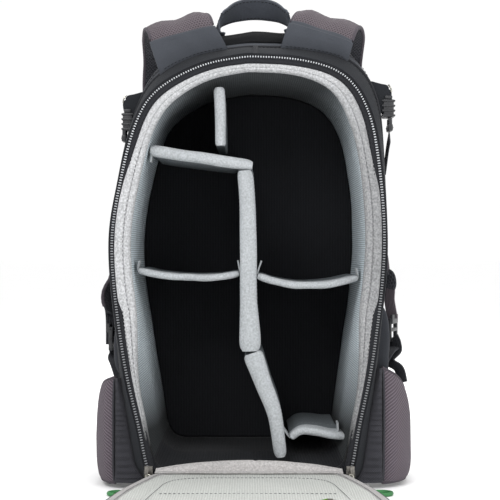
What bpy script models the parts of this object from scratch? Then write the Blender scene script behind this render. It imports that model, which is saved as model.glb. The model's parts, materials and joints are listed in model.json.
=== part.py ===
"""Rear-opening camera backpack, standing on its base with the rear panel unzipped.

Frame: +Z up, the opening faces -Y, the front pocket faces +Y, metres. The origin
is the middle of the flat base. The rear panel lies folded down on the floor in
front of the opening, the shoulder straps are thrown over the top, and the hip
wings are folded back along the sides.
"""
import math

import bmesh
import bpy
from mathutils import Matrix, Vector

# ---- driving dimensions -------------------------------------------------------
RIM_Y = -0.100  # plane of the opening
FRONT_Y = 0.070  # outer face of the main compartment's front wall
SHELL = 0.003  # outer fabric and its backing
GAP = 0.0004  # clearance between pieces that touch
LINER_GAP = 0.0024  # clearance round the padding, whose sloping walls are faceted
LINER_RIM_INSET = 0.0062  # from the zip line to the padding's edge
LINER_FRONT = 0.012  # padding on the front wall
SHEET = 0.0015  # stiffener sheets
TAPE = 0.0012  # zip tape
CELL_DEPTH_Y = 0.046  # where a divider's inner edge ends
DIVIDER_Y = -0.088  # outer edge of the padded dividers
THIN_DIVIDER_Y = -0.078  # outer edge of the thin dividers
AROUND = 72  # points round a lofted outline
POCKET_FRONT_Y = 0.112  # outer face of the front pocket
POCKET_WALL = 0.0025
POCKET_ZIP_Z = 0.330
POCKET_SLIDER_X = -0.050

# the panel's layers, as it lies open: heights above the floor
HINGE_Y = -0.1028
HINGE_Z = 0.0238
PAD_LAYER = (0.0, 0.0088)
SHELL_LAYER = (0.0092, 0.0117)
BOARD_LAYER = (0.0121, 0.0136)
LINER_LAYER = (0.0140, 0.0195)
POCKET_LAYER = (0.0199, 0.0209)

# ---- outlines in the XZ plane, from the middle of the bottom to the middle of the top
ZIP_LEFT = [(-0.060, 0.009), (-0.093, 0.010), (-0.1015, 0.018), (-0.1105, 0.062), (-0.1275, 0.139),
            (-0.139, 0.245), (-0.1285, 0.322), (-0.112, 0.380), (-0.090, 0.410), (-0.045, 0.4335)]
ZIP_RIGHT = [(0.062, 0.009), (0.096, 0.010), (0.1045, 0.018), (0.1125, 0.062), (0.1280, 0.139),
             (0.139, 0.250), (0.1310, 0.350), (0.1170, 0.399), (0.093, 0.4265), (0.050, 0.4390)]
ZIP_BOTTOM = (0.0, 0.009)
ZIP_TOP = (0.0, 0.4420)

# the closed panel's edge leaves room for the sliders inside the zip line
PANEL_LEFT = [(-0.060, 0.030), (-0.0880, 0.031), (-0.0965, 0.043), (-0.1040, 0.070), (-0.1205, 0.139),
              (-0.1328, 0.245), (-0.1223, 0.322), (-0.1060, 0.3765), (-0.0855, 0.4050), (-0.042, 0.4275)]
PANEL_RIGHT = [(0.062, 0.030), (0.0905, 0.031), (0.0990, 0.043), (0.1060, 0.070), (0.1210, 0.139),
               (0.1328, 0.250), (0.1248, 0.350), (0.1115, 0.3950), (0.0890, 0.4210), (0.048, 0.4325)]
PANEL_BOTTOM = (0.0, 0.030)
PANEL_TOP = (0.0, 0.4358)

BODY_LEFT = [(-0.060, 0.0034), (-0.110, 0.0034), (-0.1215, 0.013), (-0.1265, 0.050), (-0.1330, 0.130),
             (-0.1405, 0.240), (-0.1310, 0.322), (-0.1165, 0.385), (-0.096, 0.4230), (-0.052, 0.4470)]
BODY_RIGHT = [(0.060, 0.0034), (0.111, 0.0034), (0.1225, 0.013), (0.1275, 0.050), (0.1335, 0.130),
              (0.1410, 0.240), (0.1390, 0.345), (0.1310, 0.408), (0.104, 0.4420), (0.055, 0.4530)]
BODY_BOTTOM = (0.0, 0.0034)
BODY_TOP = (0.0, 0.4550)

CELL_LEFT = [(-0.050, 0.031), (-0.080, 0.0315), (-0.0925, 0.045), (-0.0975, 0.078), (-0.1085, 0.145),
             (-0.1205, 0.245), (-0.1110, 0.318), (-0.096, 0.370), (-0.077, 0.395), (-0.040, 0.4150)]
CELL_RIGHT = [(0.050, 0.031), (0.082, 0.0315), (0.0945, 0.045), (0.0990, 0.078), (0.1090, 0.145),
              (0.1205, 0.250), (0.1135, 0.340), (0.1000, 0.384), (0.079, 0.4080), (0.044, 0.4205)]
CELL_BOTTOM = (0.0, 0.031)
CELL_TOP = (0.0, 0.4230)

# ---- shell sections along Y: place, width and height factors, inset ------------
SHELL_SECTIONS = [(-0.080, 1.000, 1.000, 0.0), (-0.045, 0.995, 1.030, 0.0), (0.000, 0.980, 1.052, 0.0),
                  (0.035, 0.955, 1.048, 0.0), (0.060, 0.925, 1.025, 0.004), (FRONT_Y, 0.905, 1.000, 0.012)]

# ---- dividers: middle line in XZ, thickness, outer edge ---------------------------------
DIVIDERS = {
    "divider_top": ([(-0.0300, 0.4125), (-0.0290, 0.385), (-0.0283, 0.3525)], 0.011, DIVIDER_Y),
    "divider_upper_left": ([(-0.0975, 0.3475), (-0.075, 0.3440), (-0.040, 0.3395), (-0.0125, 0.3365)],
                           0.012, DIVIDER_Y),
    "divider_main_upper": ([(-0.0035, 0.3385), (-0.0005, 0.290), (0.0002, 0.245), (0.0005, 0.195),
                            (0.0030, 0.1440)], 0.0140, DIVIDER_Y),
    "divider_main_lower": ([(0.0060, 0.1350), (0.0165, 0.107), (0.0275, 0.0765), (0.0330, 0.0395)],
                           0.0130, DIVIDER_Y),
    "divider_mid_left": ([(-0.1140, 0.2235), (-0.090, 0.2185), (-0.055, 0.2160), (-0.027, 0.2170),
                          (-0.0095, 0.2200)], 0.0068, THIN_DIVIDER_Y),
    "divider_mid_right": ([(0.0100, 0.2180), (0.028, 0.2120), (0.055, 0.2080), (0.085, 0.2095),
                           (0.1138, 0.2155)], 0.0072, THIN_DIVIDER_Y),
    "divider_low_right": ([(0.0445, 0.0500), (0.055, 0.0570), (0.068, 0.0576), (0.082, 0.0560),
                           (0.0925, 0.0565)], 0.0080, THIN_DIVIDER_Y),
}

# ---- shoulder straps: route over the top and down the side ----------------------
STRAP_WIDTH = 0.066
STRAP_THICK = 0.0115
STRAP_ROUTES = {
    "left": [(-0.0665, -0.0875, 0.4620), (-0.0715, -0.0730, 0.4790), (-0.0785, -0.0340, 0.4875),
             (-0.0840, 0.0220, 0.4850), (-0.0885, 0.0720, 0.4600), (-0.1040, 0.1000, 0.4080),
             (-0.1230, 0.0960, 0.3500), (-0.1420, 0.0660, 0.2880), (-0.1530, 0.0220, 0.2300),
             (-0.1545, -0.0030, 0.1960), (-0.1490, -0.0160, 0.1730)],
    "right": [(0.0735, -0.0875, 0.4635), (0.0800, -0.0730, 0.4800), (0.0880, -0.0340, 0.4900),
              (0.0960, 0.0220, 0.4880), (0.1000, 0.0720, 0.4620), (0.1180, 0.1000, 0.4120),
              (0.1380, 0.0960, 0.3500), (0.1480, 0.0660, 0.2880), (0.1540, 0.0220, 0.2340),
              (0.1545, -0.0060, 0.2020), (0.1530, -0.0180, 0.1830)],
}
STRAP_TILT = 0.24  # how far the strap's outer edge drops where it crosses the top
STRAP_FOOT = {"left": (0.0040, 0.0010, -0.0130), "right": (-0.0030, -0.0060, -0.0120)}
ROOT_WIDTH = 0.064
ROOT_THICK = 0.0042
LOCK_SIZE = (0.0045, 0.030, 0.024)
LOCK_SLOT = (0.020, 0.0215, 0.0032)
LOCK_DROP = 0.0225  # from the strap's end to the middle of its ladder lock
LOCK_TURN = {"left": math.radians(-4.0), "right": math.radians(-20.0)}
WEBBING_FOOT = {"left": (-0.1375, -0.064, 0.118), "right": (0.1395, -0.064, 0.126)}
WEBBING = 0.0016
STRAP_WEBBING = 0.020

# ---- upper side buckles: place in X and Z, thickness, and the strap's lower end ---
BUCKLE_Y = -0.066
BUCKLES = {"left": (-1, 0.1277, 0.3790, 0.0098, 0.1350), "right": (1, 0.1468, 0.3900, 0.0108, 0.1445)}
SIDE_WEBBING = 0.018
TAB_THICK = 0.0040

# ---- hip wings ------------------------------------------------------------------
WING_THICK = 0.0120
WING_BOTTOM = 0.0050
WING_PIVOT_Y = -0.0885
WING_PLAN = [(0.0, -0.0890), (0.0120, -0.0840), (0.0255, -0.0640), (0.0310, -0.0300), (0.0300, 0.0100),
             (0.0250, 0.0450), (0.0180, 0.0700)]
WING_TOP = {"left": [0.1150, 0.1050, 0.0800, 0.0740, 0.0710, 0.0670, 0.0620],
            "right": [0.1250, 0.1090, 0.0820, 0.0740, 0.0710, 0.0670, 0.0620]}
WING_LOW = [WING_BOTTOM, WING_BOTTOM, WING_BOTTOM, 0.0070, 0.0110, 0.0170, 0.0240]
WING_SIDES = {"left": (-1, 0.1360, 0.62), "right": (1, 0.1375, 0.96)}

# ---- grab handle ----------------------------------------------------------------
HANDLE_HINGE = (0.007, -0.030, 0.4872)
HANDLE_SPAN = 0.038  # half the arch's width
HANDLE_RISE = 0.0300
HANDLE_LEAN = math.radians(50.0)
HANDLE_WIDTH = 0.026
HANDLE_THICK = 0.0030
PATCH_LINE = [(-0.045, 0.4682), (0.005, 0.4748), (0.056, 0.4728)]  # top seam patch, in XZ
PATCH_WIDTH = 0.030
PATCH_THICK = 0.0024

# ---- body zip --------------------------------------------------------------------
TAPE_WIDTH = 0.0080
SLIDER_SIZE = (0.0085, 0.0048, 0.0130)
SLIDERS = {"left": (-0.1012, 0.0185), "right": (0.1042, 0.0185)}

CORD_DIAMETER = 0.0030
CORD_ROUTES = {
    "left": [(-0.1010, -0.1175, 0.0052), (-0.1022, -0.1215, 0.0030), (-0.1070, -0.1243, 0.0021),
             (-0.1140, -0.1250, 0.0019), (-0.1215, -0.1242, 0.0019), (-0.1285, -0.1232, 0.0019),
             (-0.1350, -0.1245, 0.0019), (-0.1388, -0.1297, 0.0019), (-0.1375, -0.1357, 0.0019),
             (-0.1323, -0.1392, 0.0019), (-0.1255, -0.1398, 0.0019)],
    "right": [(0.1045, -0.1175, 0.0052), (0.1060, -0.1212, 0.0030), (0.1110, -0.1235, 0.0021),
              (0.1180, -0.1240, 0.0019), (0.1255, -0.1235, 0.0019), (0.1325, -0.1225, 0.0019),
              (0.1390, -0.1240, 0.0019), (0.1430, -0.1290, 0.0019), (0.1420, -0.1350, 0.0019),
              (0.1370, -0.1390, 0.0019), (0.1300, -0.1400, 0.0019), (0.1230, -0.1385, 0.0019)],
}

COLORS = {
    "shell_fabric": ((0.030, 0.030, 0.036), 0.85, 0.0),
    "lining": ((0.56, 0.57, 0.58), 0.9, 0.0),
    "divider_fabric": ((0.62, 0.64, 0.65), 0.9, 0.0),
    "webbing": ((0.024, 0.024, 0.028), 0.8, 0.0),
    "mesh": ((0.14, 0.115, 0.135), 0.95, 0.0),
    "plastic": ((0.018, 0.018, 0.020), 0.45, 0.0),
    "board": ((0.10, 0.10, 0.11), 0.6, 0.0),
    "metal": ((0.60, 0.60, 0.62), 0.3, 1.0),
    "coil": ((0.02, 0.02, 0.024), 0.5, 0.0),
    "cord": ((0.16, 0.32, 0.07), 0.7, 0.0),
}


def clear_scene():
    for obj in list(bpy.data.objects):
        bpy.data.objects.remove(obj, do_unlink=True)


def material(slot):
    found = bpy.data.materials.get(slot)
    if found:
        return found
    color, roughness, metallic = COLORS[slot]
    made = bpy.data.materials.new(slot)
    made.use_nodes = True
    shader = made.node_tree.nodes["Principled BSDF"]
    shader.inputs["Base Color"].default_value = (*color, 1.0)
    shader.inputs["Roughness"].default_value = roughness
    shader.inputs["Metallic"].default_value = metallic
    made.diffuse_color = (*color, 1.0)
    return made


# ---- curves ----------------------------------------------------------------------
def smooth(points, count):
    """count points, evenly spaced, on a smooth curve through the given points."""
    pts = [Vector(p) for p in points]
    pts = [pts[0] * 2 - pts[1]] + pts + [pts[-1] * 2 - pts[-2]]
    fine = []
    steps = 12
    for i in range(1, len(pts) - 2):
        a, b, c, d = pts[i - 1 : i + 3]
        for k in range(steps):
            t = k / steps
            square = (2 * a - 5 * b + 4 * c - d) * t**2
            cube = (3 * b - a - 3 * c + d) * t**3
            fine.append(0.5 * (2 * b + (c - a) * t + square + cube))
    fine.append(pts[-2])
    return even(fine, count)


def even(points, count):
    """The same line with count evenly spaced points."""
    lengths = [0.0]
    for a, b in zip(points, points[1:]):
        lengths.append(lengths[-1] + (b - a).length)
    found = []
    i = 0
    for k in range(count):
        want = lengths[-1] * k / (count - 1)
        while i < len(points) - 2 and lengths[i + 1] < want:
            i += 1
        span = lengths[i + 1] - lengths[i]
        found.append(points[i].lerp(points[i + 1], (want - lengths[i]) / span if span else 0.0))
    return found


def outline(bottom, left, right, top, around=AROUND):
    """A closed outline of 2D points: up the left side from the bottom, down the right."""
    half = around // 2 + 1
    up = smooth([Vector(p) for p in [bottom, *left, top]], half)
    down = smooth([Vector(p) for p in [bottom, *right, top]], half)
    down.reverse()
    return up[:-1] + down[:-1]


def inset(points, distance):
    """A closed outline moved inwards; the points run clockwise."""
    moved = []
    count = len(points)
    for i, p in enumerate(points):
        along = (points[(i + 1) % count] - points[i - 1]).normalized()
        moved.append(p + Vector((along.y, -along.x)) * distance)
    return moved


def zip_outline(around=AROUND):
    return outline(ZIP_BOTTOM, ZIP_LEFT, ZIP_RIGHT, ZIP_TOP, around)


def body_outline():
    """The body's outline, with its bottom kept flat."""
    ring = outline(BODY_BOTTOM, BODY_LEFT, BODY_RIGHT, BODY_TOP)
    return [Vector((p.x, max(p.y, BODY_BOTTOM[1]))) for p in ring]


def cell_outline():
    return outline(CELL_BOTTOM, CELL_LEFT, CELL_RIGHT, CELL_TOP)


def at_y(points, y):
    return [Vector((p.x, y, p.y)) for p in points]


def scaled(points, across, up):
    """The outline stretched about the middle of its bottom."""
    floor = BODY_BOTTOM[1]
    return [Vector((p.x * across, floor + (p.y - floor) * up)) for p in points]


# ---- solids ----------------------------------------------------------------------
def solid(name, verts, faces, slot):
    mesh = bpy.data.meshes.new(name)
    mesh.from_pydata([tuple(v) for v in verts], [], faces)
    bm = bmesh.new()
    bm.from_mesh(mesh)
    bmesh.ops.recalc_face_normals(bm, faces=bm.faces)
    bm.to_mesh(mesh)
    bm.free()
    mesh.materials.append(material(slot))
    mesh.shade_smooth()
    mesh.set_sharp_from_angle(angle=math.radians(35))
    obj = bpy.data.objects.new(name, mesh)
    bpy.context.collection.objects.link(obj)
    return obj


def set_origin(obj, place):
    """Moves the object's origin to its joint's axis and leaves the shape where it is."""
    obj.data.transform(Matrix.Translation(-Vector(place)))
    obj.location = place
    return obj


def loft(name, rings, slot):
    """A closed body through rings of the same number of points, capped at both ends."""
    around = len(rings[0])
    verts = [v for ring in rings for v in ring]
    faces = []
    for r in range(len(rings) - 1):
        for i in range(around):
            j = (i + 1) % around
            faces.append((r * around + i, r * around + j, (r + 1) * around + j, (r + 1) * around + i))
    last = (len(rings) - 1) * around
    faces.append(tuple(range(around)))
    faces.append(tuple(last + i for i in range(around)))
    return solid(name, verts, faces, slot)


def band_section(width, thick):
    """A flat strip's section with its long edges rounded off."""
    w, t = width / 2, thick / 2
    e = min(t, w) * 0.6
    return [(-w, -t + e), (-w + e, -t), (w - e, -t), (w, -t + e),
            (w, t - e), (w - e, t), (-w + e, t), (-w, t - e)]


def band(name, path, sides, width, thick, slot):
    """A flat strip along path; sides gives its width direction at each point."""
    rings = []
    count = len(path)
    for i, p in enumerate(path):
        along = (path[min(i + 1, count - 1)] - path[max(i - 1, 0)]).normalized()
        side = Vector(sides[i])
        side = (side - along * side.dot(along)).normalized()
        up = along.cross(side)
        wide = width[i] if isinstance(width, list) else width
        deep = thick[i] if isinstance(thick, list) else thick
        rings.append([p + side * a + up * b for a, b in band_section(wide, deep)])
    return loft(name, rings, slot)


def box(name, middle, size, slot, rounding=0.0):
    """A block with its edges rounded off."""
    bm = bmesh.new()
    bmesh.ops.create_cube(bm, size=1.0)
    bmesh.ops.scale(bm, vec=Vector(size), verts=bm.verts)
    if rounding:
        bmesh.ops.bevel(bm, geom=list(bm.edges), offset=rounding, segments=1, affect="EDGES")
    bmesh.ops.translate(bm, vec=Vector(middle), verts=bm.verts)
    mesh = bpy.data.meshes.new(name)
    bm.to_mesh(mesh)
    bm.free()
    mesh.materials.append(material(slot))
    obj = bpy.data.objects.new(name, mesh)
    bpy.context.collection.objects.link(obj)
    return obj


def cut(obj, *cutters):
    """Takes the cutters' shapes out of an object."""
    for cutter in cutters:
        cutter.hide_render = True
        cutter.display_type = "WIRE"
        modifier = obj.modifiers.new("cut", "BOOLEAN")
        modifier.operation = "DIFFERENCE"
        modifier.object = cutter


def tub(name, outer, inner, slot):
    """A tray: outer rings from the closed end to the rim, then inner rings back to the floor."""
    return loft(name, outer + inner, slot)


# ---- main body -------------------------------------------------------------------
def shell_rings(extra):
    """Rings of the main body, from the rim to the front wall, all moved in by extra."""
    rings = [at_y(inset(zip_outline(), extra - SHELL), RIM_Y)]
    body = body_outline()
    for y, across, up, drawn_in in SHELL_SECTIONS:
        ring = inset(scaled(body, across, up), extra + drawn_in)
        rings.append(at_y(ring, y if y < 0.05 else y - extra))
    return rings


def make_shell():
    outer = shell_rings(0.0)
    inner = shell_rings(SHELL)
    tub("outer_shell", outer[::-1], inner, "shell_fabric")


def make_liner():
    outer = shell_rings(SHELL + LINER_GAP)
    drop = SHEET + 2 * GAP
    outer = outer[:-2] + [[Vector((v.x, v.y - drop, v.z)) for v in ring] for ring in outer[-2:]]
    outer[0] = at_y(inset(zip_outline(), LINER_RIM_INSET), RIM_Y)
    cell = cell_outline()
    floor_y = FRONT_Y - SHELL - LINER_GAP - drop - LINER_FRONT
    inner = [at_y(cell, RIM_Y), at_y(inset(cell, 0.001), 0.0), at_y(inset(cell, 0.003), floor_y)]
    tub("padded_liner", outer[::-1], inner, "lining")


def make_stiffener():
    """The plastic sheet between the padding and the front wall."""
    ring = inset(scaled(body_outline(), 0.88, 0.96), 0.020)
    ring = [p + Vector((0.0, 0.010)) for p in ring]
    near = FRONT_Y - SHELL - GAP - SHEET - GAP * 0.5
    loft("front_stiffener", [at_y(ring, near), at_y(ring, near + SHEET)], "board")


def open_zip_path(distance, from_z, count):
    """The zip line moved in by distance, open at the bottom below from_z."""
    ring = inset(zip_outline(), distance)
    return even([p for p in ring if p.y > from_z], count)


def make_zip_tape():
    path = open_zip_path(TAPE_WIDTH / 2 - 0.0015, 0.026, 60)
    y = RIM_Y - GAP - TAPE / 2
    points = [Vector((p.x, y, p.y)) for p in path]
    sides = []
    for i in range(len(points)):
        along = (points[min(i + 1, len(points) - 1)] - points[max(i - 1, 0)]).normalized()
        sides.append(along.cross(Vector((0, 1, 0))))
    band("body_zip_tape", points, sides, TAPE_WIDTH, TAPE, "coil")


def make_lip():
    """The padded lip along the bottom of the opening, which the panel hangs from."""
    y = RIM_Y - 0.0014
    path = smooth([(-0.084, y, 0.0225), (0.0, y, 0.0265), (0.086, y, 0.0225)], 15)
    band("hinge_lip", path, [(0, 0, 1)] * len(path), 0.010, 0.0018, "lining")


def make_base():
    """The reinforced bottom patch that the bag stands on."""
    box("base_panel", (0.0, -0.008, 0.0015), (0.194, 0.128, 0.0030), "webbing", 0.0010)


def pocket_ring(grow, y):
    """The front pocket's outline, grown outwards, at a depth."""
    low = 0.045 - grow
    high = 0.398 + grow
    left = [(-0.050, low), (-0.078 - grow, low + 0.007), (-0.088 - grow, 0.090),
            (-0.092 - grow, 0.230), (-0.084 - grow, 0.350), (-0.060, high - 0.008)]
    right = [(-x, z) for x, z in left]
    return at_y(outline((0.0, low), left, right, (0.0, high), 40), y)


def make_front_pocket():
    root_y = FRONT_Y + GAP
    outer = [pocket_ring(-0.016, POCKET_FRONT_Y), pocket_ring(-0.006, POCKET_FRONT_Y - 0.008),
             pocket_ring(0.0, POCKET_FRONT_Y - 0.022), pocket_ring(0.0, root_y)]
    inner = [pocket_ring(-POCKET_WALL, root_y), pocket_ring(-POCKET_WALL, POCKET_FRONT_Y - 0.023),
             pocket_ring(-0.0085, POCKET_FRONT_Y - 0.0105), pocket_ring(-0.018, POCKET_FRONT_Y - POCKET_WALL)]
    pocket = tub("front_pocket", outer, inner, "shell_fabric")
    mouth = box("pocket_mouth_cutter", (0.0, POCKET_FRONT_Y, POCKET_ZIP_Z), (0.112, 0.02, 0.0060), "coil")
    cut(pocket, mouth)
    tape_y = POCKET_FRONT_Y + GAP + TAPE / 2
    box("front_pocket_zip", (0.0, tape_y, POCKET_ZIP_Z), (0.120, TAPE, 0.014), "coil", 0.0004)
    slider_size = (0.0120, 0.0044, 0.0080)
    slider_y = tape_y + TAPE / 2 + GAP + slider_size[1] / 2
    slider_place = (POCKET_SLIDER_X, slider_y, POCKET_ZIP_Z)
    set_origin(box("pocket_slider", slider_place, slider_size, "metal", 0.0012), slider_place)
    pull_size = (0.0070, 0.0022, 0.0260)
    pull_y = slider_y + 0.0042
    pull_place = (POCKET_SLIDER_X, pull_y, POCKET_ZIP_Z - pull_size[2] / 2)
    pull = box("pocket_pull", pull_place, pull_size, "webbing", 0.0009)
    set_origin(pull, (POCKET_SLIDER_X, pull_y, POCKET_ZIP_Z - 0.0015))


# ---- rear panel ------------------------------------------------------------------
def panel_ring(distance, height):
    """The panel's outline as it lies on the floor, moved in by distance."""
    ring = inset(outline(PANEL_BOTTOM, PANEL_LEFT, PANEL_RIGHT, PANEL_TOP, 64), distance)
    return [Vector((p.x, HINGE_Y - (p.y - HINGE_Z), height)) for p in ring]


def slab(name, distance, layer, slot, rounding=0.0):
    low, high = layer
    if rounding:
        rings = [panel_ring(distance + rounding, low), panel_ring(distance, low + rounding),
                 panel_ring(distance, high - rounding), panel_ring(distance + rounding, high)]
    else:
        rings = [panel_ring(distance, low), panel_ring(distance, high)]
    return set_origin(loft(name, rings, slot), (0.0, HINGE_Y, HINGE_Z))


def floor_pad(name, corners, layer, slot, rounding):
    """A foam pad of rounded outline lying on the floor side of the panel."""
    corners = [Vector(c) for c in corners]
    middle = sum(corners, Vector((0, 0))) / len(corners)
    points = []
    for i, corner in enumerate(corners):
        before = corner.lerp(corners[i - 1], 0.25)
        after = corner.lerp(corners[(i + 1) % len(corners)], 0.25)
        for k in range(4):
            t = k / 3
            points.append(before.lerp(corner, t).lerp(corner.lerp(after, t), t))

    def ring(shrink, z):
        return [Vector((*(middle + (p - middle) * (1 - shrink)), z)) for p in points]

    low, high = layer
    rings = [ring(rounding * 14, low), ring(0.0, low + rounding), ring(0.0, high)]
    return set_origin(loft(name, rings, slot), (0.0, HINGE_Y, HINGE_Z))


def make_panel():
    slab("panel_shell", 0.0, SHELL_LAYER, "shell_fabric")
    slab("panel_board", 0.008, BOARD_LAYER, "board")
    slab("panel_liner", 0.001, LINER_LAYER, "lining", 0.0018)
    pocket = [(-0.080, -0.150), (0.082, -0.150), (0.100, -0.300),
              (0.082, -0.430), (-0.080, -0.430), (-0.100, -0.300)]
    floor_pad("panel_pocket", pocket, POCKET_LAYER, "lining", 0.0003)
    upper = [(0.012, -0.500), (0.062, -0.490), (0.092, -0.430), (0.098, -0.340), (0.012, -0.330)]
    middle = [(0.012, -0.318), (0.100, -0.325), (0.104, -0.270), (0.092, -0.205), (0.012, -0.215)]
    for side, sign in (("left", -1), ("right", 1)):
        for level, corners in (("upper", upper), ("middle", middle)):
            turned = [(sign * x, y) for x, y in corners][::sign]
            floor_pad(f"back_pad_{level}_{side}", turned, PAD_LAYER, "mesh", 0.003)
    lumbar = [(-0.080, -0.135), (0.080, -0.135), (0.086, -0.200), (-0.086, -0.200)]
    floor_pad("lumbar_pad", lumbar, PAD_LAYER, "mesh", 0.003)


# ---- dividers --------------------------------------------------------------------
def make_dividers():
    for name, (line, thick, edge_y) in DIVIDERS.items():
        middle = smooth([Vector((x, 0.0, z)) for x, z in line], 3 * len(line))
        rounding = thick * 0.3
        rings = []
        count = len(middle)
        for i, p in enumerate(middle):
            along = (middle[min(i + 1, count - 1)] - middle[max(i - 1, 0)]).normalized()
            across = along.cross(Vector((0, 1, 0)))
            half = thick / 2
            profile = [(-half, edge_y + rounding), (-half + rounding, edge_y), (half - rounding, edge_y),
                       (half, edge_y + rounding), (half, CELL_DEPTH_Y), (-half, CELL_DEPTH_Y)]
            rings.append([p + across * a + Vector((0.0, y, 0.0)) for a, y in profile])
        loft(name, rings, "divider_fabric")


# ---- straps ----------------------------------------------------------------------
def strap_sides(sign, count):
    """Width directions: across the top, then turning flat against the side."""
    found = []
    for i in range(count):
        t = i / (count - 1)
        turn = min(max((t - 0.22) / 0.42, 0.0), 1.0)
        turn = turn * turn * (3 - 2 * turn)
        top = Vector((sign, 0.0, -STRAP_TILT))
        flank = Vector((0.05 * sign, -0.86, -0.5))
        found.append(top.lerp(flank, turn).normalized())
    return found


def make_straps():
    for side, sign in (("left", -1), ("right", 1)):
        path = smooth(STRAP_ROUTES[side], 32)
        count = len(path)
        widths = [STRAP_WIDTH * (1.0 - 0.30 * (i / (count - 1)) ** 3) for i in range(count)]
        widths[-1] = widths[-2] * 0.8
        thick = [STRAP_THICK * min(1.0, 0.45 + 0.2 * min(i, count - 1 - i)) for i in range(count)]
        band(f"shoulder_strap_{side}", path, strap_sides(sign, count), widths, thick, "mesh")
        lock = path[-1] + Vector((0.0, -0.008, -LOCK_DROP + 0.003))
        make_lock(side, lock)
        low = Vector(WEBBING_FOOT[side])
        top = lock + Vector((0, -0.005, -LOCK_SIZE[2] / 2 - 0.0105))
        bulge = Vector((sign * 0.002, 0, 0))
        route = smooth([top, top.lerp(low, 0.5) + bulge, low], 10)
        band(f"strap_webbing_{side}", route, [(0, -0.8, 0.6)] * len(route), STRAP_WEBBING, WEBBING, "webbing")


def make_lock(side, place):
    """A ladder lock: a flat frame with two slots for the webbing."""
    frame = box(f"strap_lock_{side}", (0, 0, 0), LOCK_SIZE, "plastic", 0.001)
    cutters = []
    for level, step in (("upper", 0.0055), ("lower", -0.0055)):
        cutter = box(f"lock_slot_cutter_{side}_{level}", (0, 0, 0), LOCK_SLOT, "plastic")
        cutter.location = place + Vector((0, 0, step))
        cutters.append(cutter)
    frame.location = place
    for part in (frame, *cutters):
        part.rotation_euler.z = LOCK_TURN[side]
    cut(frame, *cutters)


def make_strap_roots():
    """The sewn fabric wedges that tie each strap to the top seam."""
    for side, sign in (("left", -1), ("right", 1)):
        first, second = (Vector(p) for p in STRAP_ROUTES[side][:2])
        foot = first + Vector(STRAP_FOOT[side])
        head = first - (second - first).normalized() * 0.0055
        path = [foot, foot.lerp(head, 0.5), head]
        tilt = [Vector((sign, 0, -STRAP_TILT))] * len(path)
        band(f"strap_root_{side}", path, tilt, ROOT_WIDTH, ROOT_THICK, "shell_fabric")


def make_side_buckles():
    for side, (sign, x, z, thick, end_x) in BUCKLES.items():
        y = BUCKLE_Y
        tab = smooth([(sign * (x - 0.0065), y, z + 0.0300), (sign * (x - 0.001), y, z + 0.0220),
                      (sign * x, y, z + 0.0130)], 6)
        band(f"side_tab_{side}", tab, [(0, 1, 0)] * len(tab), SIDE_WEBBING, TAB_THICK, "webbing")
        box(f"side_buckle_{side}", (sign * x, y, z + 0.002), (thick, 0.0240, 0.0190), "plastic", 0.0014)
        plug_x = x + 0.0010
        place = (sign * plug_x, y, z - 0.0150)
        set_origin(box(f"side_plug_{side}", place, (0.0060, 0.0220, 0.0140), "plastic", 0.0012), place)
        half_way = (plug_x + end_x) / 2
        strap = smooth([(sign * plug_x, y, z - 0.0275), (sign * half_way, y + 0.006, z - 0.040),
                        (sign * end_x, y + 0.030, z - 0.058)], 8)
        band(f"side_strap_{side}", strap, [(0, 0.9, 0.45)] * len(strap), SIDE_WEBBING, WEBBING, "webbing")


# ---- hip belt --------------------------------------------------------------------
def wing_plan(side):
    sign, root_x, reach = WING_SIDES[side]
    return [Vector((sign * (root_x + x * reach), y, 0.0)) for x, y in WING_PLAN]


def make_wings():
    count = 16
    for side in WING_SIDES:
        sign, root_x, _ = WING_SIDES[side]
        plan = smooth(wing_plan(side), count)
        tops = even([Vector((i, z, 0)) for i, z in enumerate(WING_TOP[side])], count)
        lows = even([Vector((i, z, 0)) for i, z in enumerate(WING_LOW)], count)
        rings = []
        for i, p in enumerate(plan):
            along = (plan[min(i + 1, count - 1)] - plan[max(i - 1, 0)]).normalized()
            out = along.cross(Vector((0, 0, 1)))
            half = WING_THICK / 2 * (0.7 if i in (0, count - 1) else 1.0)
            low, high = lows[i].y, tops[i].y
            e = 0.004
            ring = [(-half, low + e), (-half + e, low), (half - e, low), (half, low + e),
                    (half, high - e), (half - e, high), (-half + e, high), (-half, high - e)]
            rings.append([p + out * a + Vector((0, 0, z)) for a, z in ring])
        pivot = (sign * root_x, WING_PIVOT_Y, 0.0)
        set_origin(loft(f"hip_wing_{side}", rings, "mesh"), pivot)
        ahead = (plan[-1] - plan[-2]).normalized()
        start = plan[-1] + ahead * 0.0010 + Vector((0, 0, (WING_TOP[side][-1] + WING_LOW[-1]) / 2))
        bend = Vector((-sign * 0.004, 0, -0.001))
        route = smooth([start, start + ahead * 0.016, start + ahead * 0.030 + bend], 6)
        webbing = band(f"hip_webbing_{side}", route, [(0, 0, 1)] * len(route), 0.025, WEBBING, "webbing")
        set_origin(webbing, pivot)
        middle = route[-1] + Vector((-sign * 0.0075, 0.0210, 0.0))
        size = (0.0080, 0.0380, 0.0300) if side == "left" else (0.0070, 0.0340, 0.0260)
        part = box(f"hip_buckle_{side}", (0, 0, 0), size, "plastic", 0.0018)
        part.data.transform(Matrix.Rotation(sign * math.radians(18), 4, "Z"))
        part.data.transform(Matrix.Translation(middle))
        set_origin(part, pivot)


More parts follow.
